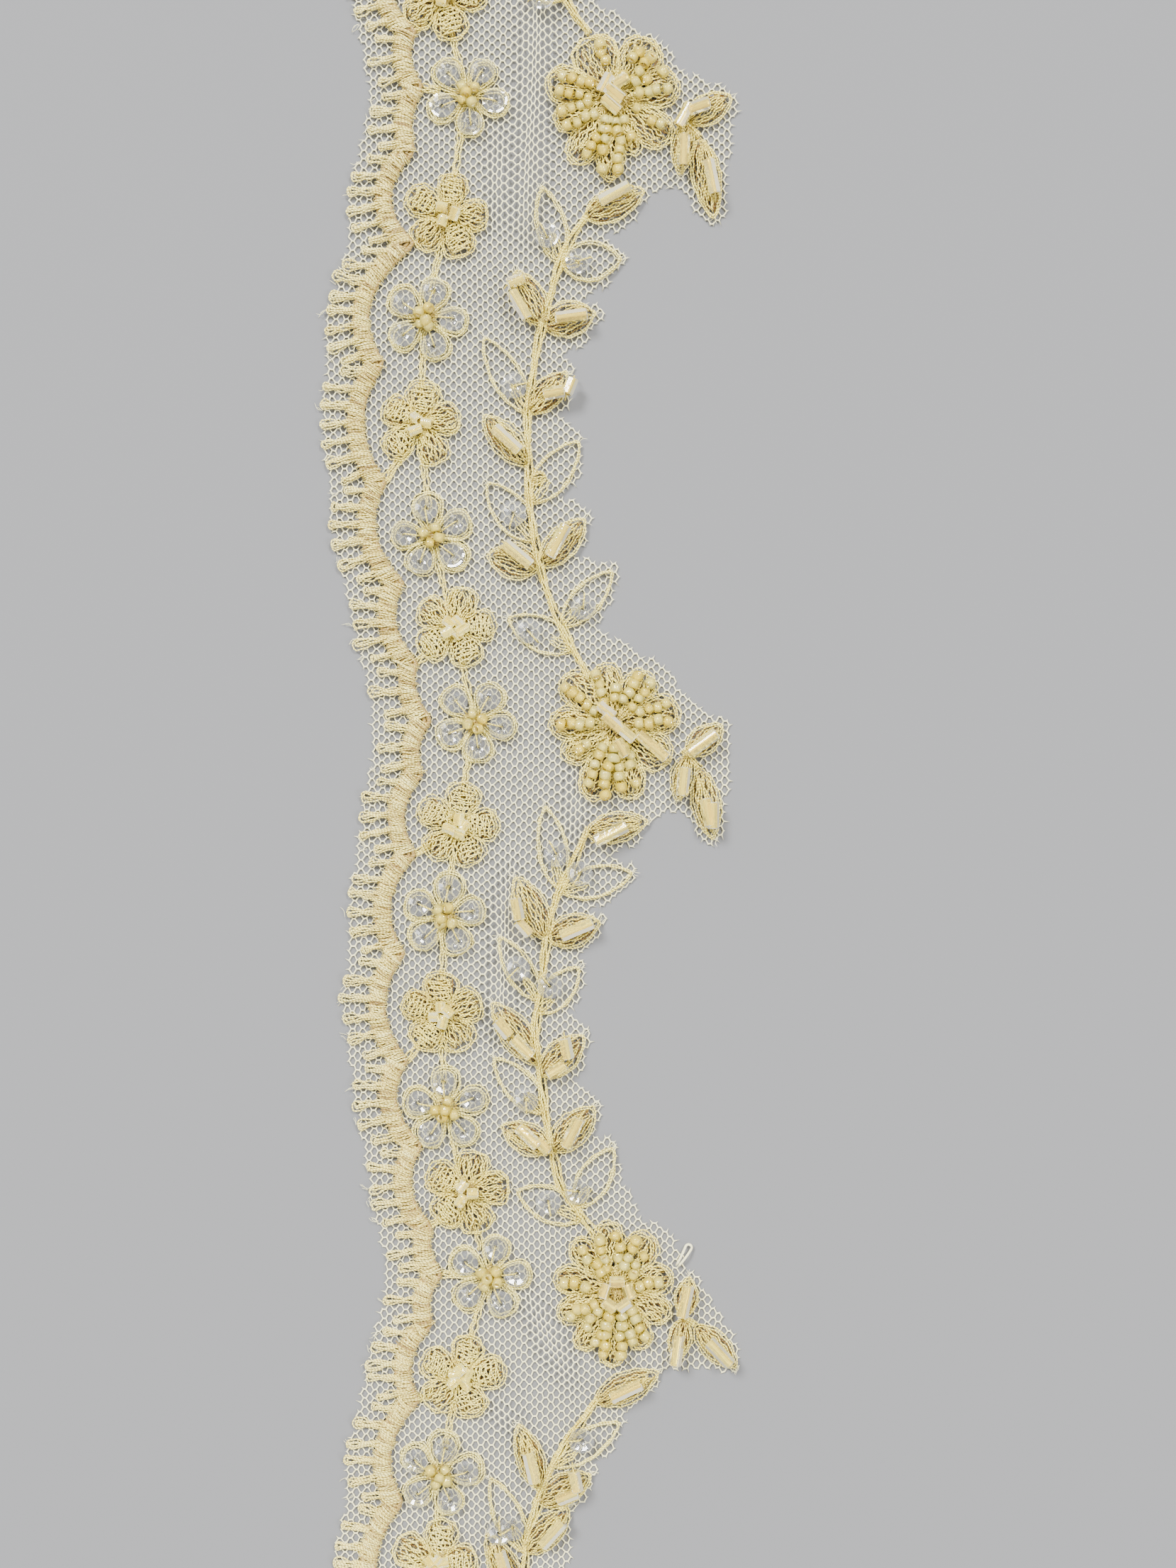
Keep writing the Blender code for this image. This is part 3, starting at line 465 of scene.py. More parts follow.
class Threads:
    """Round threads gathered into one piece. A path's heights are over the net's underside."""

    def __init__(self):
        self.verts, self.quads, self.tris = [], [], []
        self.quad_uvs, self.tri_uvs, self.tint = [], [], []
        self.count = 0

    def add(self, path, radius=THREAD, tint=0.0, sides=SIDES, ends=0.7):
        """A tint over zero is painted shade, under it pale. Ends are a share of the radius."""
        path = np.array(path, float)
        path[:, 2] += lift(path[:, 0], path[:, 1])
        count = len(path)
        ahead = np.gradient(path, axis=0)
        ahead /= np.maximum(np.linalg.norm(ahead, axis=1, keepdims=True), 1e-9)
        side = np.cross(ahead, UP) + (1e-6, 0.0, 0.0)
        side /= np.linalg.norm(side, axis=1, keepdims=True)
        over = np.cross(side, ahead)
        turn = (TAU * (np.arange(sides) + 0.5) / sides)[None, :, None]
        ring = np.cos(turn) * side[:, None] + np.sin(turn) * over[:, None]
        thick = np.full(count, 1.0) * radius
        thick[[0, -1]] *= ends
        self.verts.append((path[:, None] + thick[:, None, None] * ring).reshape(-1, 3))
        at = self.count + np.arange(count * sides).reshape(count, sides)
        nxt = np.roll(at, -1, axis=1)
        self.quads.append(np.stack((at[:-1], nxt[:-1], nxt[1:], at[1:]), axis=2).reshape(-1, 4))
        k = np.arange(1, sides - 1)
        fan = np.stack((0 * k, k, k + 1), axis=1)
        self.tris += [at[0][fan[:, ::-1]], at[-1][fan]]
        self.tri_uvs.append(np.zeros((6 * len(k), 2)))
        run = walked(path) / TWIST
        u0, u1 = run[:-1, None], run[1:, None]
        v0, v1 = np.arange(sides)[None] / sides, (np.arange(sides)[None] + 1.0) / sides
        grid = np.broadcast_arrays(u0, v0, u0, v1, u1, v1, u1, v0)
        self.quad_uvs.append(np.stack(grid, axis=2).reshape(-1, 2))
        self.tint.append(np.repeat(np.clip(np.full(count, 1.0) * tint, -1.0, 1.0), sides))
        self.count += count * sides

    def piece(self, name, skin, slot, *nodes):
        made = add_piece(name, np.concatenate(self.verts), np.concatenate(self.quads),
                         np.concatenate(self.tris), skin,
                         np.concatenate(self.quad_uvs + self.tri_uvs), np.concatenate(self.tint))
        if nodes:
            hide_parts(*nodes)
        return made

    def motif(self, name):
        """The piece that replaces one of the frame's embroidered motifs."""
        return self.piece(f"{name}_stitching", GOLD, "gold_thread", name)


def stray(size):
    """A random step either way, about as large as size."""
    return rng.normal(0.0, size)


def crinkle(run, size):
    """Smooth random sway along a thread, about as large as size."""
    sway = np.zeros_like(run)
    for wave, share in ((1.5, 0.7), (2.7, 0.8), (6.5, 0.6)):
        turns = run / (wave * rng.uniform(0.8, 1.25)) + rng.uniform(0.0, 1.0)
        sway = sway + share * np.sin(TAU * turns)
    return size * sway


def beside(x, y, heading, along, across=0.0):
    """The spot this far along and across a heading from x, y."""
    ux, uy = cos(heading), sin(heading)
    return x + ux * along - uy * across, y + uy * along + ux * across


def at_heading(x, y, heading, along, across, height):
    """Points given along and across a heading from x, y."""
    return np.stack((*beside(x, y, heading, along, across), np.zeros_like(along) + height), axis=1)


# Materials

def feed(tree, socket, value):
    """Link a socket to another, or set its value. A colour is given without its alpha."""
    if isinstance(value, bpy.types.NodeSocket):
        tree.links.new(value, socket)
    else:
        socket.default_value = (*value, 1.0) if isinstance(value, tuple) else value


def node(tree, kind, **inputs):
    made = tree.nodes.new(kind)
    for name, value in inputs.items():
        feed(tree, made.inputs[name.replace("_", " ")], value)
    return made


def math_node(tree, operation, *values):
    made = tree.nodes.new("ShaderNodeMath")
    made.operation = operation
    for socket, value in zip(made.inputs, values):
        feed(tree, socket, value)
    return made.outputs[0]


def mix_colour(tree, share, first, second):
    made = tree.nodes.new("ShaderNodeMix")
    made.data_type = "RGBA"
    for key, value in ((0, share), (6, first), (7, second)):
        feed(tree, made.inputs[key], value)
    return made.outputs[2]


def new_material(name, roughness, **sockets):
    made = bpy.data.materials.new(name)
    made.use_nodes = True
    shader = made.node_tree.nodes["Principled BSDF"]
    for key, value in {"Roughness": roughness, **sockets}.items():
        shader.inputs[key.replace("_", " ")].default_value = value
    return made, made.node_tree


def noise_of(tree, scale, detail=2.0):
    spot = tree.nodes.new("ShaderNodeTexCoord").outputs["Object"]
    made = node(tree, "ShaderNodeTexNoise", Vector=spot, Scale=scale, Detail=detail)
    return made.outputs["Fac"]


def tint_of(tree):
    made = tree.nodes.new("ShaderNodeAttribute")
    made.attribute_name = "tint"
    return made.outputs["Fac"]


def finished(made, base, height=None, strength=0.0, depth=0.0):
    """The material with its base colour and, given a height, a bump of that depth in metres."""
    tree = made.node_tree
    shader = tree.nodes["Principled BSDF"]
    feed(tree, shader.inputs["Base Color"], base)
    if height is not None:
        bump = node(tree, "ShaderNodeBump", Strength=strength, Distance=depth, Height=height)
        feed(tree, shader.inputs["Normal"], bump.outputs["Normal"])
    return made


def thread_material(name, light, dark, shaded, pale):
    """Two-ply rayon of uneven colour: painted shade where the tint is over zero, pale where under.
    """
    made, tree = new_material(name, 0.34, Sheen_Weight=0.1, Sheen_Roughness=0.4,
                              Specular_IOR_Level=0.5)
    base = mix_colour(tree, noise_of(tree, 260.0, 3.0), light, dark)
    tint = tint_of(tree)
    # Painted shade: a tint over zero darkens the thread towards the shaded colour
    base = mix_colour(tree, tint, base, shaded)
    base = mix_colour(tree, math_node(tree, "MULTIPLY", tint, -1.0), base, pale)
    uv = tree.nodes.new("ShaderNodeUVMap")
    uv.uv_map = "thread"
    split = node(tree, "ShaderNodeSeparateXYZ", Vector=uv.outputs["UV"])
    wound = math_node(tree, "MULTIPLY", split.outputs["Y"], 2.0)
    wound = math_node(tree, "ADD", split.outputs["X"], wound)
    ply = math_node(tree, "SINE", math_node(tree, "MULTIPLY", wound, pi))
    ply = math_node(tree, "ABSOLUTE", ply)
    # Painted shade in the grooves between the twisted plies
    groove_shade = math_node(tree, "SUBTRACT", 1.0, ply)
    groove_shade = math_node(tree, "MULTIPLY", groove_shade, groove_shade)
    base = mix_colour(tree, math_node(tree, "MULTIPLY", groove_shade, 0.8), base, shaded)
    fibre = math_node(tree, "MULTIPLY", noise_of(tree, 9000.0, 1.0), 0.4)
    return finished(made, base, math_node(tree, "ADD", ply, fibre), 0.9, 0.00008)


def net_material():
    """Fine cotton net: cream, matt, a little uneven, with the fibres' roughness."""
    made, tree = new_material("net_looks", 0.72, Sheen_Weight=0.25, Sheen_Roughness=0.5,
                              Specular_IOR_Level=0.35)
    base = mix_colour(tree, noise_of(tree, 180.0, 3.0), (0.94, 0.89, 0.56), (0.85, 0.79, 0.44))
    return finished(made, base, noise_of(tree, 7000.0), 0.5, 0.00005)


def bead_material(name, light, dark, clear, uneven):
    """Pressed glass with a coloured lining, cloudier in places."""
    made, tree = new_material(name, 0.05, Transmission_Weight=clear, IOR=1.6)
    base = mix_colour(tree, tint_of(tree), light, dark)
    cloud = math_node(tree, "MULTIPLY", noise_of(tree, 700.0), 0.5)
    base = mix_colour(tree, cloud, base, dark)
    return finished(made, base, noise_of(tree, 1800.0, 1.0), uneven, 0.00012)


def mottled_material(name, light, dark, scale, roughness, **sockets):
    """One colour that passes into another in soft patches."""
    made, tree = new_material(name, roughness, **sockets)
    return finished(made, mix_colour(tree, noise_of(tree, scale), light, dark))


NET = net_material()
# Thread colours: light and dark mix at random, the shaded colour is painted shade, the last is a
# paler thread
SATIN = thread_material("satin_looks", (0.99, 0.88, 0.25), (0.88, 0.70, 0.16),
                        (0.32, 0.20, 0.05), (0.98, 0.90, 0.36))
GOLD = thread_material("gold_looks", (1.0, 0.88, 0.16), (0.90, 0.69, 0.10),
                       (0.22, 0.12, 0.02), (0.98, 0.91, 0.34))
BUGLE_GLASS = bead_material("bugle_looks", (1.0, 0.93, 0.28), (0.93, 0.72, 0.13), 0.76, 0.15)
LINING = mottled_material("lining_looks", (1.0, 0.94, 0.52), (0.92, 0.76, 0.30), 900.0, 0.28,
                          Metallic=0.85)
SEED_GLASS = bead_material("seed_looks", (1.0, 0.96, 0.34), (0.98, 0.78, 0.07), 0.66, 0.7)
SEQUIN = mottled_material("sequin_looks", (1.0, 0.99, 0.97), (0.88, 0.91, 0.95), 500.0, 0.04,
                          Transmission_Weight=0.97, IOR=1.5, Coat_Weight=0.6, Coat_Roughness=0.04)


# Net

def gather(x, y):
    """The net drawn together along its ripples and a little out of true elsewhere."""
    moved_x = x + 0.3 * np.sin(y / 23.0 + 1.0) + 0.16 * np.sin(y / 8.0 + x / 7.0)
    moved_y = y + 0.2 * np.sin(x / 6.0 + y / 17.0)
    for *ends, half, peak in RIPPLES:
        run, across, fade = along_ripple(x, y, ends, GATHER_END)
        fall = np.exp(-(across / (GATHER_SHARE * half)) ** 2)
        pull = -GATHER_PULL * peak ** 0.5 * across * fall * fade
        moved_x = moved_x + pull * (ends[3] - ends[1]) / run
        moved_y = moved_y - pull * (ends[2] - ends[0]) / run
    return moved_x, moved_y


@functools.cache
def cell_middle(col, row):
    """x and y of the middle of a cell of the lattice."""
    return np.array(gather(col * NET_COLUMN, (row + 0.5 * (col % 2)) * NET_PITCH))


def net_cells():
    """Cells of the lattice, as column and row, whose middle lies on the frame's net."""
    ground = BVHTree.FromObject(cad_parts["net_ground"],
                                bpy.context.evaluated_depsgraph_get())
    columns = int(HALF_WIDTH / NET_COLUMN) + 2
    rows = int(HALF_LENGTH / NET_PITCH) + 2
    down = Vector((0.0, 0.0, -1.0))
    cells = []
    for col in range(-columns, columns + 1):
        for row in range(-rows, rows + 1):
            over = Vector((*(cell_middle(col, row) * MM), OVERHEAD))
            if ground.ray_cast(over, down)[0] is not None:
                cells.append((col, row))
    return cells


def corner_keys(col, row):
    """A cell's six corners, anticlockwise from its right: column line, side of it, half row."""
    y = 2 * row + (col % 2)
    return ((col + 1, -1, y), (col, 1, y + 1), (col, -1, y + 1),
            (col - 1, 1, y), (col, -1, y - 1), (col, 1, y - 1))


def across_edge(col, row, k):
    """The cell on the other side of edge k, which runs from corner k to corner k + 1."""
    up = 1 if col % 2 else 0
    return ((col + 1, row + up), (col, row + 1), (col - 1, row + up),
            (col - 1, row + up - 1), (col, row - 1), (col + 1, row + up - 1))[k]


def build_net(name, cells, every):
    """One stretch of net: each cell a ring of strands that it shares with its neighbours."""
    owned = set(cells)
    strips = []
    open_corners = {}
    for cell in cells:
        keys = corner_keys(*cell)
        for k in range(6):
            a, b = keys[k], keys[(k + 1) % 6]
            strips.append((cell, a, b))
            other = across_edge(*cell, k)
            if other not in owned:
                strips.append((other, b, a))
                if other not in every:
                    for key in (a, b):
                        open_corners.setdefault(key, set()).add(other)
    corner_ids = {}
    ring_ids = {}
    for cell, *ends in strips:
        for key in ends:
            corner_ids.setdefault(key, len(corner_ids))
            ring_ids.setdefault((cell, key), len(ring_ids))
    lines, sides, levels = np.array(list(corner_ids), float).T
    x, y = gather(lines * NET_COLUMN + sides * NET_FLAT, levels * 0.5 * NET_PITCH)
    spots = np.stack((x, y, np.full(len(x), NET_MIDDLE)), axis=1)
    for spot, (line, side, level) in zip(spots, corner_ids):
        seed = (line * 7919 + side * 104729 + level * 1299709) % 2 ** 31
        spot += np.random.default_rng(seed).normal(0.0, NET_JITTER, 3)
    spots[:, 2] += lift(spots[:, 0], spots[:, 1])
    inner = np.empty((len(ring_ids), 3))
    for (cell, key), index in ring_ids.items():
        spot = spots[corner_ids[key]]
        towards = cell_middle(*cell) - spot[:2]
        length = np.linalg.norm(towards)
        shared = cell in every and cell not in owned
        inset = NET_SEAM if shared else min(NET_RING * NET_STRAND, MOST_INSET * length)
        inner[index] = (*(spot[:2] + towards / length * inset), spot[2])
    base = len(spots)
    rings = 2 * base
    quads = []
    for cell, a, b in strips:
        ca, cb = corner_ids[a], corner_ids[b]
        ra, rb = rings + ring_ids[cell, a], rings + ring_ids[cell, b]
        quads += [(ca, cb, rb, ra), (base + cb, base + ca, ra, rb)]
    shake = np.random.default_rng(5)
    tris = []
    tips = []
    for key, ghosts in open_corners.items():
        ends = [ring_ids[ghost, key] for ghost in sorted(ghosts) if (ghost, key) in ring_ids]
        if len(ends) != 2:
            continue
        c = corner_ids[key]
        away = 0.5 * (inner[ends[0]] + inner[ends[1]])[:2] - spots[c][:2]
        away /= max(np.linalg.norm(away), 1e-6)
        swing = shake.normal(0.0, 0.35, 2)
        tip = spots[c][:2] + (away + swing) * shake.uniform(*WHISKER)
        t = rings + len(inner) + len(tips)
        tips.append((*tip, max(spots[c][2] + shake.normal(0.0, 0.12), 0.1)))
        g1, g2 = rings + ends[0], rings + ends[1]
        tris += [(c, g1, t), (g1, base + c, t), (base + c, g2, t), (g2, c, t)]
    rise = (0.0, 0.0, NET_RISE)
    verts = np.concatenate((spots + rise, spots - rise, inner, np.reshape(tips, (-1, 3))))
    made = add_piece(name, verts, quads, tris, NET)
    bm = bmesh.new()
    bm.from_mesh(made.data)
    bmesh.ops.recalc_face_normals(bm, faces=bm.faces)
    bm.to_mesh(made.data)
    bm.free()
    return made


def make_net():
    cells = net_cells()
    pieces = []
    for name, upper in (("net_upper", True), ("net_lower", False)):
        part = [cell for cell in cells if (cell[1] >= 0) == upper]
        pieces.append((build_net(name, part, set(cells)),
                       len(part) * NET_COLUMN * NET_PITCH * MM * MM))
    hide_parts("net_ground")
    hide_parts("net_ground")
    return pieces


# Stitching

def petal_shape(t):
    """Half width of a petal along its length, as a share of its widest."""
    return 2.6 * np.sqrt(np.clip(t * (1.0 - t), 0.0, 1.0)) * (0.42 + 0.58 * t)


def leaf_shape(t):
    """Half width of a leaf along its length, as a share of its widest."""
    return np.sin(pi * np.clip(t, 0.0, 1.0) ** 0.9) ** 0.68


def outline(threads, spot, near, far, half, height, loops=2, tint=0.0, sway=0.07):
    """Threads side by side round a petal or leaf, from its foot round the tip and back.

    A spot is its root's x and y, its heading and its shape. Heights are over the bed of stitches.
    """
    *root, shape = spot
    for loop in range(loops):
        inset = LOOP_GAP * loop + stray(0.04)
        reach = far - near - 2.0 * inset
        steps = int(2.5 * reach / STEP) + 8
        phi = np.linspace(0.0, TAU, steps)
        run = np.linspace(0.0, 2.5 * reach, steps)
        t = 0.5 * (1.0 - np.cos(phi))
        side = np.where(phi <= pi, 1.0, -1.0)
        across = side * max(half - inset, 0.2) * shape(t) + crinkle(run, sway)
        along = near + inset + reach * t + crinkle(run, sway)
        up = BED + height + 0.1 * (loop % 2) + crinkle(run, 0.05)
        # Painted shade, darkest at the foot by the flower's or stem's middle
        shade = tint + 0.45 * np.exp(-(along - near) / 1.1) + rng.uniform(-0.1, 0.2)
        threads.add(at_heading(*root, along, across, up), THREAD * rng.uniform(0.9, 1.1), shade, 4)


def fill(threads, spot, near, far, half, lines, height, crown, tint=0.0, span=0.84, sway=0.1,
         slant=0.0, lean=0.0):
    """Stitches along a petal or leaf, or slanting over it, raised to a crown over its middle.

    Lean is how far the crown lies to one side, as a share of the half width.
    """
    *root, shape = spot
    for k in range(lines):
        s = (2.0 * (k + 0.5) / lines - 1.0) * span
        first, last = rng.uniform(0.02, 0.15), rng.uniform(0.8, 0.96)
        steps = max(6, int((far - near) * (last - first) / STEP) + 2)
        t = np.linspace(first, last, steps)
        run = (far - near) * t
        across = np.clip(s + slant * (t - 0.5), -span, span) * half * shape(t) + crinkle(run, sway)
        slope = (s - lean) / (1.0 - copysign(lean, lean * (s - lean)))
        raised = crown * cos(0.5 * pi * slope) ** 0.6 * np.sin(pi * t) ** 0.5
        up = BED + height + raised
        # Painted shade, darkest at the foot by the flower's or stem's middle
        shade = tint + 0.6 * np.exp(-run / 1.5) + rng.uniform(-0.15, 0.3)
        threads.add(at_heading(*root, near + run, across, up + crinkle(run, 0.07)),
                    THREAD * rng.uniform(0.85, 1.15), shade, 4)


def zigzag(threads, spot, near, far, half, turns, height, crown, tint):
    """One thread back and forth across a petal, from its foot to its tip."""
    *root, shape = spot
    phase = np.linspace(0.0, turns, int(15 * turns))
    swing = 0.85 * (4.0 * np.abs(phase % 1.0 - 0.5) - 1.0)
    t = 0.14 + 0.78 * phase / turns
    run = 6.0 * phase
    across = half * shape(t) * swing + crinkle(run, 0.13)
    along = near + (far - near) * t + crinkle(run, 0.13)
    up = BED + height + crown * np.cos(0.5 * pi * swing) + crinkle(run, 0.08)
    threads.add(at_heading(*root, along, across, up), THREAD, tint + crinkle(run, 0.12), 4)


def tuft(threads, x, y, radius, count, height):
    """Short crossing stitches under the beads at a flower's middle."""
    for _ in range(count):
        turn = rng.uniform(0.0, TAU)
        along = np.linspace(-radius, radius, 8)
        up = BED + height + 0.45 * np.cos(0.5 * pi * along / radius) + rng.uniform(0.0, 0.25)
        path = at_heading(x, y, turn, along, stray(0.3) + crinkle(along, 0.1), up)
        # Painted shade: the stitches under the middle beads are darker
        threads.add(path, THREAD, rng.uniform(0.3, 0.9), 4)


def make_small_flower(number, x, y, turn):
    threads = Threads()
    beaded = number % 2 == 0
    mood = rng.uniform(-0.15, 0.2)
    for petal in range(5):
        heading = radians(turn + 72.0 * petal + rng.uniform(-5.0, 5.0))
        spot = (x, y, heading, petal_shape)
        far = PETAL_REACH + rng.uniform(-0.6, 0.25)
        half = (PETAL_HALF if beaded else FILLED_HALF) * rng.uniform(0.9, 1.06)
        if beaded:
            outline(threads, spot, 0.8, far, half, 0.12, 3, -0.55)
            askew = (x, y, heading + rng.uniform(-0.08, 0.08), petal_shape)
            outline(threads, askew, 1.0, far - 0.3, half - 0.1, RIM_UP, 1, -0.7)
            continue
        slant = rng.uniform(-1.0, 1.0)
        # Padding stitches with a high tint: painted shade under the cover stitches
        fill(threads, spot, 0.6, far - 0.2, half - 0.2, 8, PAD_UP, 0.3, 0.75)
        outline(threads, spot, 0.8, far, half, 0.4, 2, mood - 0.2, 0.12)
        fill(threads, spot, 0.6, far - 0.25, half - 0.3, 8, COVER_UP, 0.55, mood - 0.15,
             span=0.92, sway=0.2, slant=slant)
        if rng.uniform() < 0.6:
            zigzag(threads, spot, 0.9, far - 0.35, half - 0.35, rng.uniform(5.0, 6.5), 0.72, 0.5,
                   mood - 0.25)
        else:
            fill(threads, spot, 1.2, far - 0.5, half - 0.5, 4, 0.75, 0.45, mood - 0.3,
                 sway=0.25, slant=-slant)
    tuft(threads, x, y, 1.9, 14, 0.5)
    return threads.motif(f"small_flower_{number:02d}")


def make_large_flower(number, x, y, petals):
    threads = Threads()
    for k, (turn, reach, _) in enumerate(petals):
        before = (turn - petals[k - 1][0]) % 360
        after = (petals[(k + 1) % len(petals)][0] - turn) % 360
        half = 0.5 * (WIDEST_AT * reach) * radians(0.5 * (before + after)) * PETAL_OVERLAP
        spot = (x, y, radians(turn + 0.12 * (after - before)), petal_shape)
        # Padding stitches with a high tint: painted shade under the cover stitches
        fill(threads, spot, 1.2, reach - 0.2, half, 9, PAD_UP, 0.35, 0.8)
        outline(threads, spot, 1.6, reach, half + 0.12, 0.45, 3, -0.2, 0.11)
        fill(threads, spot, 1.2, reach - 0.35, half - 0.35, 10, COVER_UP, 0.95, -0.1,
             sway=0.22, slant=rng.uniform(-0.5, 0.5))
    tuft(threads, x, y, 2.6, 26, 0.8)
    return threads.motif(f"large_flower_{number}")


def bead_lean(x, y, heading, length, half):
    """How far the beads on a leaf lie to one side of its axis, as a share of its half width."""
    ux, uy = cos(heading), sin(heading)
    offs = []
    for bx, by, *_ in BUGLES + SHORT_BUGLES:
        along = (bx - x) * ux + (by - y) * uy
        off = (by - y) * ux - (bx - x) * uy
        if 0.0 < along < length and abs(off) < half:
            offs.append(off / half)
    return min(max(sum(offs) / len(offs), -MOST_LEAN), MOST_LEAN) if offs else 0.0


def make_stem(name):
    threads = Threads()
    points = np.array(STEMS[name])
    if name in JOINED:
        last = points[-1] - points[-2]
        points[-1] += STEM_REACH * last / np.linalg.norm(last)
    path = smooth_path(points, STEM_FINE)
    ahead = np.gradient(path, axis=0)
    ahead /= np.linalg.norm(ahead, axis=1, keepdims=True)
    side = np.stack((-ahead[:, 1], ahead[:, 0]), axis=1)
    run = np.arange(len(path)) * STEM_FINE
    for k, (off, up) in enumerate(STEM_THREADS):
        sway = off + 0.17 * np.sin(run / 1.9 + 2.1 * k) + crinkle(run, 0.06)
        spots = path + side * sway[:, None]
        height = BED + up + 0.1 * np.sin(run / 1.3 + 1.7 * k)
        threads.add(np.column_stack((spots, height)), 0.15, crinkle(run, 0.25) - 0.1)
    for (x, y), heading, length, width, kind in leaf_roots(name):
        half = 0.5 * width
        spot = (x, y, heading, leaf_shape)
        if kind == "open":
            outline(threads, spot, 0.1, length, half, 0.15, 2, -0.55)
            outline(threads, spot, 0.4, length - 0.25, half - 0.12, RIM_UP, 1, -0.7)
            fill(threads, spot, 0.0, 0.42 * length, 0.45 * half, 4, 0.4, 0.2, -0.3)
        else:
            # Padding stitches with a high tint: painted shade under the cover stitches
            fill(threads, spot, 0.1, length - 0.2, half - 0.15, 7, PAD_UP, 0.4, 0.8)
            outline(threads, spot, 0.1, length, half, 0.4, 2, -0.35)
            fill(threads, spot, 0.1, length - 0.35, half - 0.4, 8, COVER_UP, 1.12, sway=0.13,
                 slant=rng.uniform(-0.6, 0.6), lean=bead_lean(x, y, heading, length, half))
    for x, y, turn, length, width in BUDS.get(name, ()):
        spot = (x, y, radians(turn), leaf_shape)
        outline(threads, spot, 0.0, length, 0.5 * width, 0.2, 2, -0.3)
        fill(threads, spot, 0.0, length, 0.4 * width, 4, 0.35, 0.3)
    return threads.motif(name)


def strand_run(threads, start, end, offs, tint=-0.3):
    """Loose threads side by side from one spot to another."""
    length = dist(start, end)
    heading = atan2(end[1] - start[1], end[0] - start[0])
    for off in offs:
        along = np.linspace(0.0, length, int(length / STEP) + 4)
        across = off + crinkle(along, 0.1)
        path = at_heading(*start, heading, along, across, BED + 0.12 + crinkle(along, 0.05))
        threads.add(path, THREAD, tint + crinkle(along, 0.1))


def make_links():
    """Threads from each small flower to the next, and from some of them to the border's cusps."""
    threads = Threads()
    for (x0, y0, _), (x1, y1, _) in zip(SMALL_FLOWERS, SMALL_FLOWERS[1:]):
        share = LINK_START / dist((x0, y0), (x1, y1))
        start = (x0 + share * (x1 - x0), y0 + share * (y1 - y0))
        end = (x1 - share * (x1 - x0), y1 - share * (y1 - y0))
        strand_run(threads, start, end, LINK_OFFS)
    for number, cusp in CUSP_LINKS:
        x, y, _ = SMALL_FLOWERS[number - 1]
        cx, cy, _ = SCALLOPS[cusp]
        share = CUSP_LINK_START / dist((x, y), (cx, cy))
        start = (x + share * (cx - x), y + share * (cy - y))
        strand_run(threads, start, (cx - 0.6, cy), CUSP_LINK_OFFS, -0.2)
    return threads.piece("link_stitching", GOLD, "gold_thread")


def make_border():
    """The satin band: padding threads under two layers of stitches across it."""
    threads = Threads()
    top = HALF_LENGTH - 0.3
    ys = [top]
    while ys[-1] > -top:
        ys.append(ys[-1] - BAND_STITCH / hypot(1.0, inner_edge(ys[-1])[1]))
    rows = np.array(ys[::4])
    inner = np.array([inner_edge(y)[0] for y in rows])
    outer = np.array([outer_edge(y) for y in rows])
    for share in BAND_PADDING:
        xs = outer + (inner - outer) * share
        # The padding threads get a high tint: painted shade under the satin stitches
        threads.add(np.column_stack((xs, rows, BED + 0.35 + 0 * rows)), 0.4, 0.9)
    t = np.linspace(0.0, 1.0, 7)
    middle = np.sin(pi * t)
    drift = crinkle(np.array(ys), 0.16)
    shading = crinkle(np.array(ys) * 1.6, 0.32)
    for layer, (slant, crown, base) in enumerate(BAND_LAYERS):
        for y, more, shade in zip(ys, drift, shading):
            lean = atan(-inner_edge(y)[1])
            down = 0.5 * BAND_WIDTH * sin(0.85 * lean)
            tilt = 0.5 * (slant + more + stray(0.2))
            y0 = max(min(y - down + tilt, top), -top)
            y1 = min(max(y + down - tilt, -top), top)
            x0 = outer_edge(y0) + rng.normal(-0.12, 0.22)
            x1 = inner_edge(y1)[0] + rng.normal(0.06, 0.18)
            height = BED + base + crown * middle ** 0.6 + crinkle(2.6 * t, 0.05)
            along = y0 + (y1 - y0) * t + crinkle(2.6 * t, 0.05)
            # Painted shade: darker along the band's middle and on the lower layer; shading darkens
            # or lightens the tint at random in patches along the band
            tint = 0.45 * middle + shade - 0.3 * layer + stray(0.3)
            threads.add(np.column_stack((x0 + (x1 - x0) * t, along, height)),
                        THREAD * rng.uniform(0.85, 1.2), tint, 4)
    return threads.piece("border_band", SATIN, "satin_thread", "scallop_border")


def make_bars():
    """Nested hairpins of thread, which reach out from the band over the net."""
    threads = Threads()
    for mid in bar_stations():
        upper, lower = outer_edge(mid + 0.5 * BAR_ROOT), outer_edge(mid - 0.5 * BAR_ROOT)
        ease = smooth_step(min(abs(mid - cusp) for _, cusp, _ in SCALLOPS) / BAR_EASE)
        slope = atan((lower - upper) / BAR_ROOT)
        fan = BAR_FAN * (0.5 + 0.5 * ease) * slope
        heading = pi + BAR_LEAN + fan + stray(0.06)
        x = 0.5 * (upper + lower)
        reach = BAR_LENGTH * (BAR_SHORT + (1.0 - BAR_SHORT) * ease) * rng.uniform(0.9, 1.08)
        add_bar(threads, x, mid, heading, min(reach, x + HALF_WIDTH))
    return threads.piece("border_bars", SATIN, "satin_thread", "scallop_border")


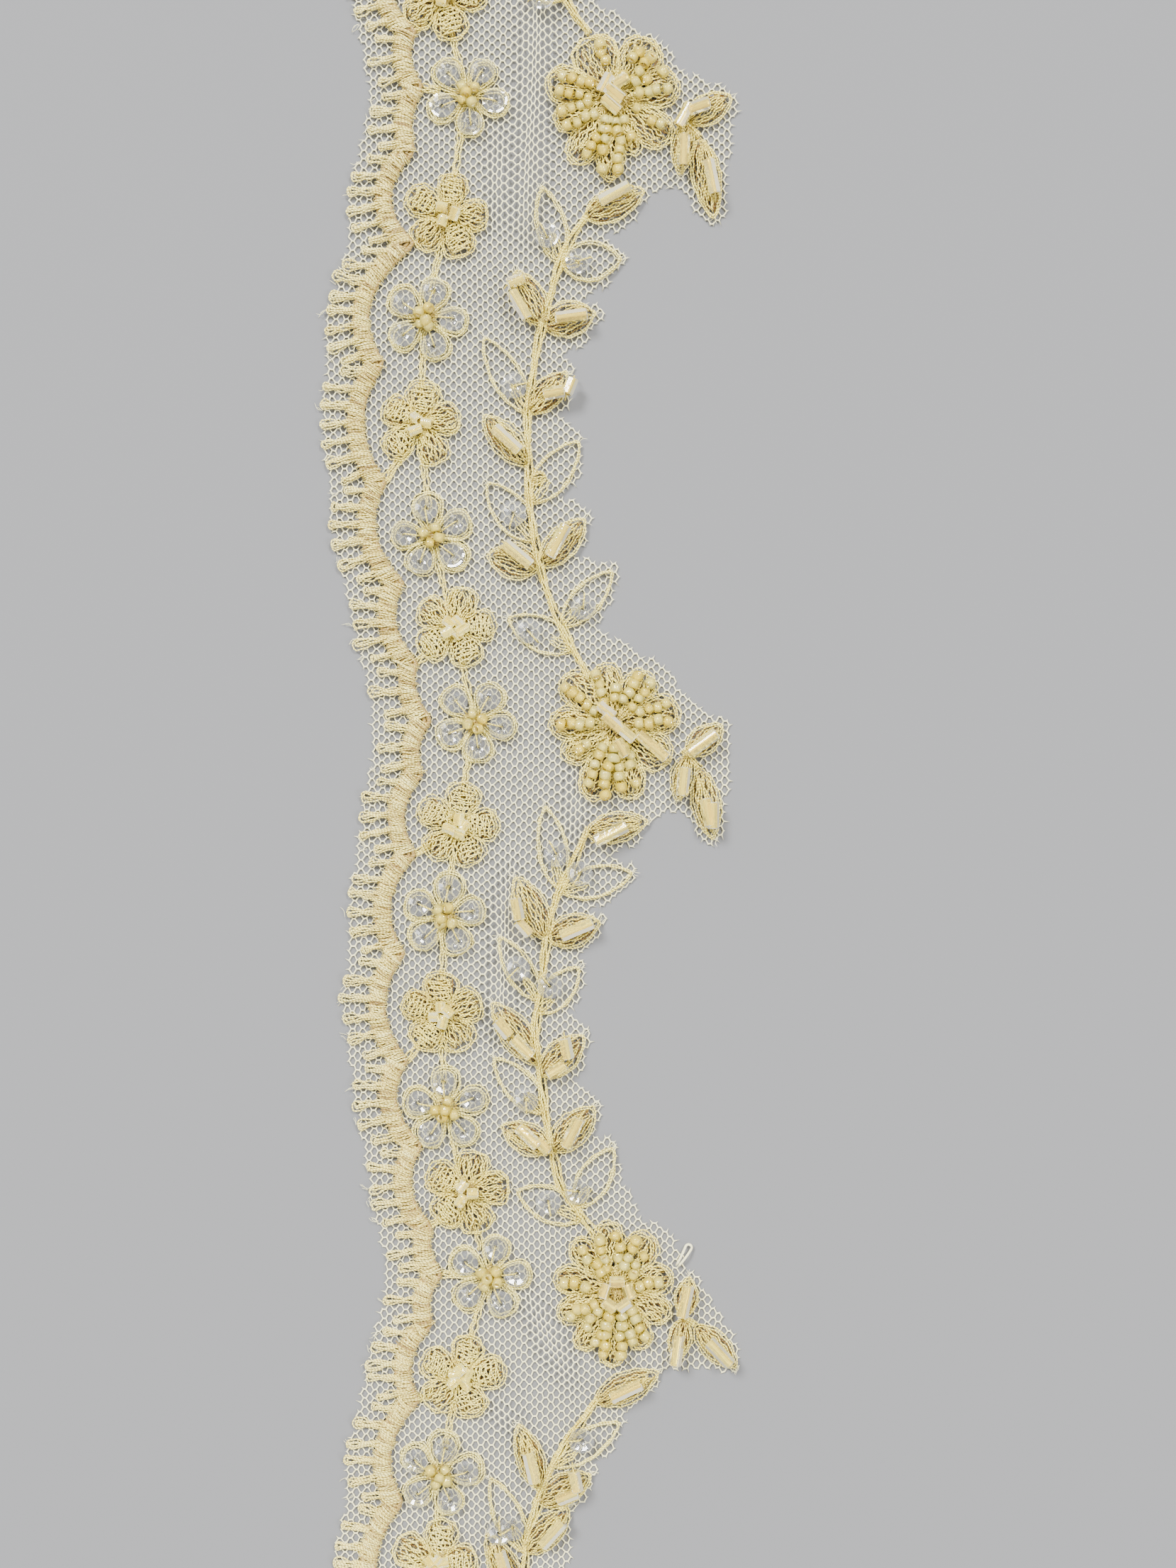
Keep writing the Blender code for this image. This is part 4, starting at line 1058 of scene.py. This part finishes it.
def add_bar(threads, x, y, heading, length):
    """Hairpins one inside another, pinched together here and there and open at the tip."""
    phi = np.linspace(0.0, pi, 7)[1:-1]
    spread = rng.uniform(0.85, 1.25)
    for half, short, up in HAIRPINS:
        half *= spread * rng.uniform(0.85, 1.1)
        short += rng.uniform(0.0, 0.3)
        lean = heading + stray(0.045)
        end = length - half - short
        out = np.linspace(-rng.uniform(1.2, 2.2), end, int(length / STEP) + 3)
        along = np.concatenate((out, end + half * np.sin(phi), out[::-1]))
        pinch = 0.5 * np.exp(-((out - rng.uniform(0.8, 3.2)) / 0.8) ** 2)
        swell = half * (0.75 + 0.4 * smooth_step(out / length)) * (1.0 - pinch)
        across = np.concatenate((swell, half * 1.12 * np.cos(phi), -swell[::-1]))
        run = np.linspace(0.0, 2.0 * length + 3.0, len(along))
        past = np.maximum(along, 0.0)
        height = BED + up + 0.5 * np.exp(-past / 0.8) + crinkle(run, 0.06)
        # Painted shade, darkest where the hairpins run under the band
        shade = 0.6 * np.exp(-past / 1.1) - 0.4 + stray(0.15)
        along = along + crinkle(run, 0.05)
        across = across + crinkle(run, 0.09)
        threads.add(at_heading(x, y, lean, along, across, height), 0.15, shade, 4)


def make_frays():
    """Loose ends of fine fibre at the ends of some bars and at leaf tips, and the stray loop."""
    threads = Threads()
    spots = []
    for mid in bar_stations():
        if rng.uniform() < 0.45:
            spots.append((outer_edge(mid) - 4.6, mid - 0.4, pi + stray(0.6)))
    for name in STEMS:
        for (x, y), heading, length, _, _ in leaf_roots(name):
            tip = beside(x, y, heading, length)
            spots += [(*tip, heading + stray(0.5)) for _ in range(2)]
    for spot in spots:
        if abs(spot[1]) > HALF_LENGTH - 1.5:
            continue
        for _ in range(rng.integers(1, 4)):
            along = np.linspace(-0.5, rng.uniform(0.4, 1.3), 7)
            across = stray(0.2) + crinkle(along, 0.12)
            across = across + stray(0.25) * along ** 2
            up = 0.5 + crinkle(along, 0.1) + rng.uniform(-0.2, 0.4)
            threads.add(at_heading(*spot, along, across, up), FIBRE, 0.0, 3, 0.4)
    x, y, turn, length, width = STRAY_LOOP
    phi = np.linspace(0.0, pi, 7)[1:-1]
    out = np.linspace(0.0, length, 7)
    along = np.concatenate((out, length + 0.5 * width * np.sin(phi), out[::-1]))
    across = np.concatenate((0.3 + 0.7 * out / length, np.cos(phi), -1.0 + 0.6 * out / length))
    up = 0.75 + 0.5 * np.sin(pi * np.minimum(along / length, 1.0))
    threads.add(at_heading(x, y, radians(turn), along, 0.5 * width * across, up), 0.2)
    return threads.piece("loose_fibres", NET, "net_thread")


# Beads

def lathe(profile, sides):
    """A closed profile of (along, radius) turned round the x axis: points and quads."""
    turn = TAU * np.arange(sides) / sides
    along, radius = profile[:, 0][:, None] + 0 * turn, profile[:, 1][:, None]
    spots = np.stack((along, radius * np.cos(turn), radius * np.sin(turn)), axis=2)
    at = np.arange(len(profile) * sides).reshape(-1, sides)
    nxt = np.roll(at, -1, axis=0)
    quads = np.stack((at, np.roll(at, -1, axis=1), np.roll(nxt, -1, axis=1), nxt), axis=2)
    return spots.reshape(-1, 3), quads.reshape(-1, 4)


def turned(spots, first, second, angle):
    """Points turned from one axis towards another."""
    matrix = np.eye(3)
    matrix[first, first] = matrix[second, second] = cos(angle)
    matrix[first, second] = sin(angle)
    matrix[second, first] = -sin(angle)
    return spots @ matrix


def place(spots, x, y, z, heading, pitch=0.0, roll=0.0):
    """Turn a bead, whose own axis is x, to its heading and move it to its place on the net."""
    spots = turned(turned(turned(spots, 1, 2, roll), 0, 2, pitch), 0, 1, heading)
    return spots + (x, y, z + float(lift(x, y)))


def bugle_form(length, thin=1.0):
    """A glass tube with six flats, bevelled between them and at its ends."""
    half = 0.5 * length
    rim = BUGLE_RADIUS - BUGLE_BEVEL
    profile = np.array(((-half, BUGLE_BORE), (-half, rim), (BUGLE_BEVEL - half, BUGLE_RADIUS),
                        (half - BUGLE_BEVEL, BUGLE_RADIUS), (half, rim), (half, BUGLE_BORE)))
    spots, quads = lathe(profile, BUGLE_SIDES)
    turn = np.arctan2(spots[:, 2], spots[:, 1])
    flat = np.round(turn / (TAU / 6) - 0.5) + 0.5
    away = turn / (TAU / 6) - flat
    turn = (flat + away * 1.5) * (TAU / 6)
    radius = np.hypot(spots[:, 1], spots[:, 2])
    spots = np.stack((spots[:, 0], radius * np.cos(turn), radius * np.sin(turn)), axis=1)
    return spots * (1.0, thin, thin), quads


def seed_form():
    """A round bead whose bore comes last in its faces, as two rings of them."""
    turn = TAU * (np.arange(SEED_ROUND) / SEED_ROUND - 0.125)
    middle = 0.5 * (SEED_RADIUS + SEED_BORE)
    thick = 0.5 * (SEED_RADIUS - SEED_BORE)
    profile = np.stack((SEED_HALF * np.cos(turn), middle + thick * np.sin(turn)), axis=1)
    return lathe(profile, SEED_SIDES)


def sequin_form():
    """A cupped disc with a hole and facets round its bowl, its axis upright."""
    profile = np.array(((0.06, 0.42), (0.0, 0.62), (0.08, 0.95), (0.38, 1.62),
                        (0.4, SEQUIN_RADIUS), (0.32, SEQUIN_RADIUS), (0.28, 1.62),
                        (-0.02, 0.95), (-0.08, 0.42)))
    spots, quads = lathe(profile, SEQUIN_SIDES)
    return turned(spots, 0, 2, 0.5 * pi), quads


def join_forms(name, forms, skin, slot, smooth, *nodes, lined=0):
    """Beads in one piece. The last faces of each, as many as are lined, are its bore's lining."""
    verts, quads, inside, tint = [], [], [], []
    count = 0
    for spots, faces, shade in forms:
        verts.append(spots)
        tint.append(np.resize(shade, len(spots)))
        quads.append(faces + count)
        inside.append(np.arange(len(faces)) >= len(faces) - lined)
        count += len(spots)
    made = add_piece(name, np.concatenate(verts), np.concatenate(quads)[:, ::-1], [], skin,
                     tint=np.concatenate(tint), smooth=smooth)
    if lined:
        made.data.materials.append(LINING)
        made.data.polygons.foreach_set("material_index", np.concatenate(inside).astype(np.int32))
    if nodes:
        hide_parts(*nodes)
    return made


def bugle(x, y, height, heading, length, pitch, roll, thin=1.0):
    """A bugle in its place: points, faces and shades."""
    spots, quads = bugle_form(length, thin)
    spots = place(spots, x, y, height, heading, pitch, roll)
    return spots, quads, rng.uniform(0.0, 1.0, BUGLE_SIDES)


def make_bugles():
    """The frame's bugles, one piece each, the short ones as one piece, and the threads in them."""
    pieces = []
    loops = Threads()
    for number, (x, y, turn, length) in enumerate(BUGLES, 1):
        heading = radians(turn)
        form = bugle(x, y, BUGLE_MIDDLE, heading, length + rng.uniform(-0.15, 0.15),
                     stray(0.025), rng.uniform(-0.4, 0.4))
        name = f"bugle_{number:02d}"
        pieces.append(join_forms(f"{name}_glass", [form], BUGLE_GLASS, "bead_glass", False, name,
                                 lined=BUGLE_SIDES))
        bead_thread(loops, x, y, BUGLE_MIDDLE, heading, length)
    rows = list(SHORT_BUGLES)
    x0, y0, count, away, length, height = RING_BUGLES
    for k in range(count):
        turn = 90.0 + 360.0 * k / count
        rows.append((*beside(x0, y0, radians(turn), away), turn + 90.0, length, height))
    forms = []
    for x, y, turn, length, height in rows:
        heading = radians(turn)
        forms.append(bugle(x, y, height, heading, length, stray(0.05),
                           rng.uniform(-0.4, 0.4), 0.95))
        bead_thread(loops, x, y, height, heading, length)
    pieces.append(join_forms("short_bugles_glass", forms, BUGLE_GLASS, "bead_glass", False,
                             lined=BUGLE_SIDES))
    pieces.append(loops.piece("bead_threads", GOLD, "gold_thread"))
    return pieces


def bead_thread(threads, x, y, height, heading, length):
    """The thread through a bugle, out of both ends and down into the stitching."""
    half = 0.5 * length
    along = np.array((-half - 0.75, -half - 0.6, -half - 0.2, -half + 0.4, 0.0,
                      half - 0.4, half + 0.2, half + 0.6, half + 0.75))
    end = height - 0.35
    up = (1.2, 1.7, end, height, height, height, end, 1.7, 1.2)
    threads.add(at_heading(x, y, heading, along, 0.0, up), SEWING, 0.1)


def seed(x, y, z, heading, pitch, least=0.0):
    """A seed bead in its place: points, faces and shade."""
    spots, quads = seed_form()
    spots = place(spots * rng.uniform(0.86, 1.06), x, y, z, heading, pitch)
    return spots, quads, rng.uniform(least, 1.0)


def make_petal_seeds():
    """Seed beads in rows on the large flowers' petals."""
    pieces = []
    for number, (x, y, petals) in enumerate(LARGE_FLOWERS, 1):
        forms = []
        for turn, reach, rows in petals:
            heading = radians(turn)
            for off in SEED_ROWS[rows]:
                start = SEED_START + rng.uniform(0.0, 0.5)
                for r in np.arange(start, reach - SEED_STOP, SEED_PITCH):
                    if rng.uniform() < SEED_MISSING:
                        continue
                    along = r + stray(0.09)
                    across = off * (0.85 + 0.45 * (r - 3.4) / 6.0) + stray(0.2)
                    crown = 0.3 * sin(pi * min(r / reach, 1.0))
                    forms.append(seed(*beside(x, y, heading, along, across),
                                      PETAL_SEED_UP + crown + stray(0.16),
                                      heading + off / 6.0 + stray(0.28),
                                      stray(0.25)))
        pieces.append(join_forms(f"large_flower_{number}_seeds", forms, SEED_GLASS, "bead_glass",
                                 True, lined=2 * SEED_SIDES))
    return pieces


def make_middle_beads():
    """Seed beads or cut beads at the small flowers' middles, by turns."""
    forms = []
    cut = []
    for number, (x, y, turn) in enumerate(SMALL_FLOWERS, 1):
        start = radians(turn)
        if number % 2:
            count = int(rng.integers(3, 6))
            for k in range(count):
                phi = start + TAU * k / count + stray(0.2)
                spot = beside(x, y, phi, rng.uniform(0.9, 1.35))
                length = rng.uniform(1.6, 2.2)
                cut.append(bugle(*spot, CUT_BEAD_UP + stray(0.15), phi + stray(0.8),
                                 length, stray(0.2), rng.uniform(-0.5, 0.5), 0.85))
            continue
        for k in range(4):
            phi = start + TAU * (k + 0.5) / 4 + stray(0.2)
            forms.append(seed(*beside(x, y, phi, rng.uniform(1.15, 1.6)),
                              MIDDLE_SEED_UP + stray(0.12),
                              phi + 0.5 * pi + stray(0.7),
                              stray(0.35), 0.3))
        if rng.uniform() < 0.75:
            forms.append(seed(x + stray(0.25), y + stray(0.25), TOP_SEED_UP,
                              rng.uniform(0.0, TAU), stray(0.4), 0.3))
    return [join_forms("small_flower_seeds", forms, SEED_GLASS, "bead_glass", True,
                       lined=2 * SEED_SIDES),
            join_forms("small_flower_cut_beads", cut, SEED_GLASS, "bead_glass", False,
                       lined=BUGLE_SIDES)]


def make_sequins():
    """Cup sequins, each with a bar of thread out of its hole and over its rim."""
    forms = []
    bars = Threads()
    form, quads = sequin_form()

    def add(x, y, heading, tilt):
        spots = place(form, x, y, SEQUIN_UP, heading, tilt)
        spots[:, 2] += np.resize(rng.normal(0.0, 0.035, SEQUIN_SIDES), len(spots))
        forms.append((spots, quads, 0.0))

    for x, y, turn in SMALL_FLOWERS[1::2]:
        for petal in range(5):
            heading = radians(turn + 72.0 * petal)
            spot = beside(x, y, heading, SEQUIN_AWAY + stray(0.12))
            add(*spot, heading, rng.uniform(0.02, 0.2))
            along, up = PETAL_BAR
            path = at_heading(*spot, heading + stray(0.05), along, 0.08, up)
            bars.add(path, SEWING, 0.05)
    for x, y in LEAF_SEQUINS:
        heading = rng.uniform(0.0, TAU)
        add(x, y, heading, rng.uniform(0.02, 0.16))
        along, up = LEAF_BAR
        bars.add(at_heading(x, y, heading, along, 0.0, up), SEWING, 0.05)
    return [join_forms("sequins", forms, SEQUIN, "bead_glass", False),
            bars.piece("sequin_threads", GOLD, "gold_thread")]


# Stage

def make_stage():
    floor_mesh = bpy.data.meshes.new("floor")
    corners = [(-FLOOR, -FLOOR, 0), (FLOOR, -FLOOR, 0), (FLOOR, FLOOR, 0), (-FLOOR, FLOOR, 0)]
    floor_mesh.from_pydata(corners, [], [(0, 1, 2, 3)])
    floor_mesh.materials.append(new_material("floor_looks", 0.85, Base_Color=FLOOR_COLOUR)[0])
    floor = linked("floor", floor_mesh)
    world = bpy.data.worlds.new("studio")
    bpy.context.scene.world = world
    world.use_nodes = True
    world.node_tree.nodes["Background"].inputs["Color"].default_value = SKY_COLOUR
    world.node_tree.nodes["Background"].inputs["Strength"].default_value = SKY_STRENGTH
    for name, towards, width, power in LAMPS:
        lamp = bpy.data.lights.new(name, "SUN")
        lamp.angle = width
        lamp.energy = power
        holder = linked(name, lamp)
        holder.rotation_euler = (-Vector(towards)).to_track_quat("-Z", "Y").to_euler()


def make_camera():
    data = bpy.data.cameras.new("camera")
    data.lens = LENS
    data.sensor_width = SENSOR
    data.clip_start = 0.01
    camera = linked("camera", data)
    camera.location = (LOOK_X * MM, 0.0, (LOOK_Z + FRAME_HEIGHT * LENS / SENSOR) * MM)
    bpy.context.scene.camera = camera


def main():
    make_camera()
    make_stage()
    nets = make_net()
    stitched = [make_border(), make_bars(), make_links(), make_frays()]
    stitched += [make_small_flower(n, *row) for n, row in enumerate(SMALL_FLOWERS, 1)]
    stitched += [make_large_flower(n, *row) for n, row in enumerate(LARGE_FLOWERS, 1)]
    stitched += [make_stem(name) for name in STEMS]
    stitched += make_bugles()
    stitched += make_petal_seeds()
    stitched += make_middle_beads()
    stitched += make_sequins()
    upper, lower = [], []
    for piece in stitched:
        middle = sum(corner[1] for corner in piece.bound_box) / 8.0
        (upper if middle >= 0.0 else lower).append(piece)


main()
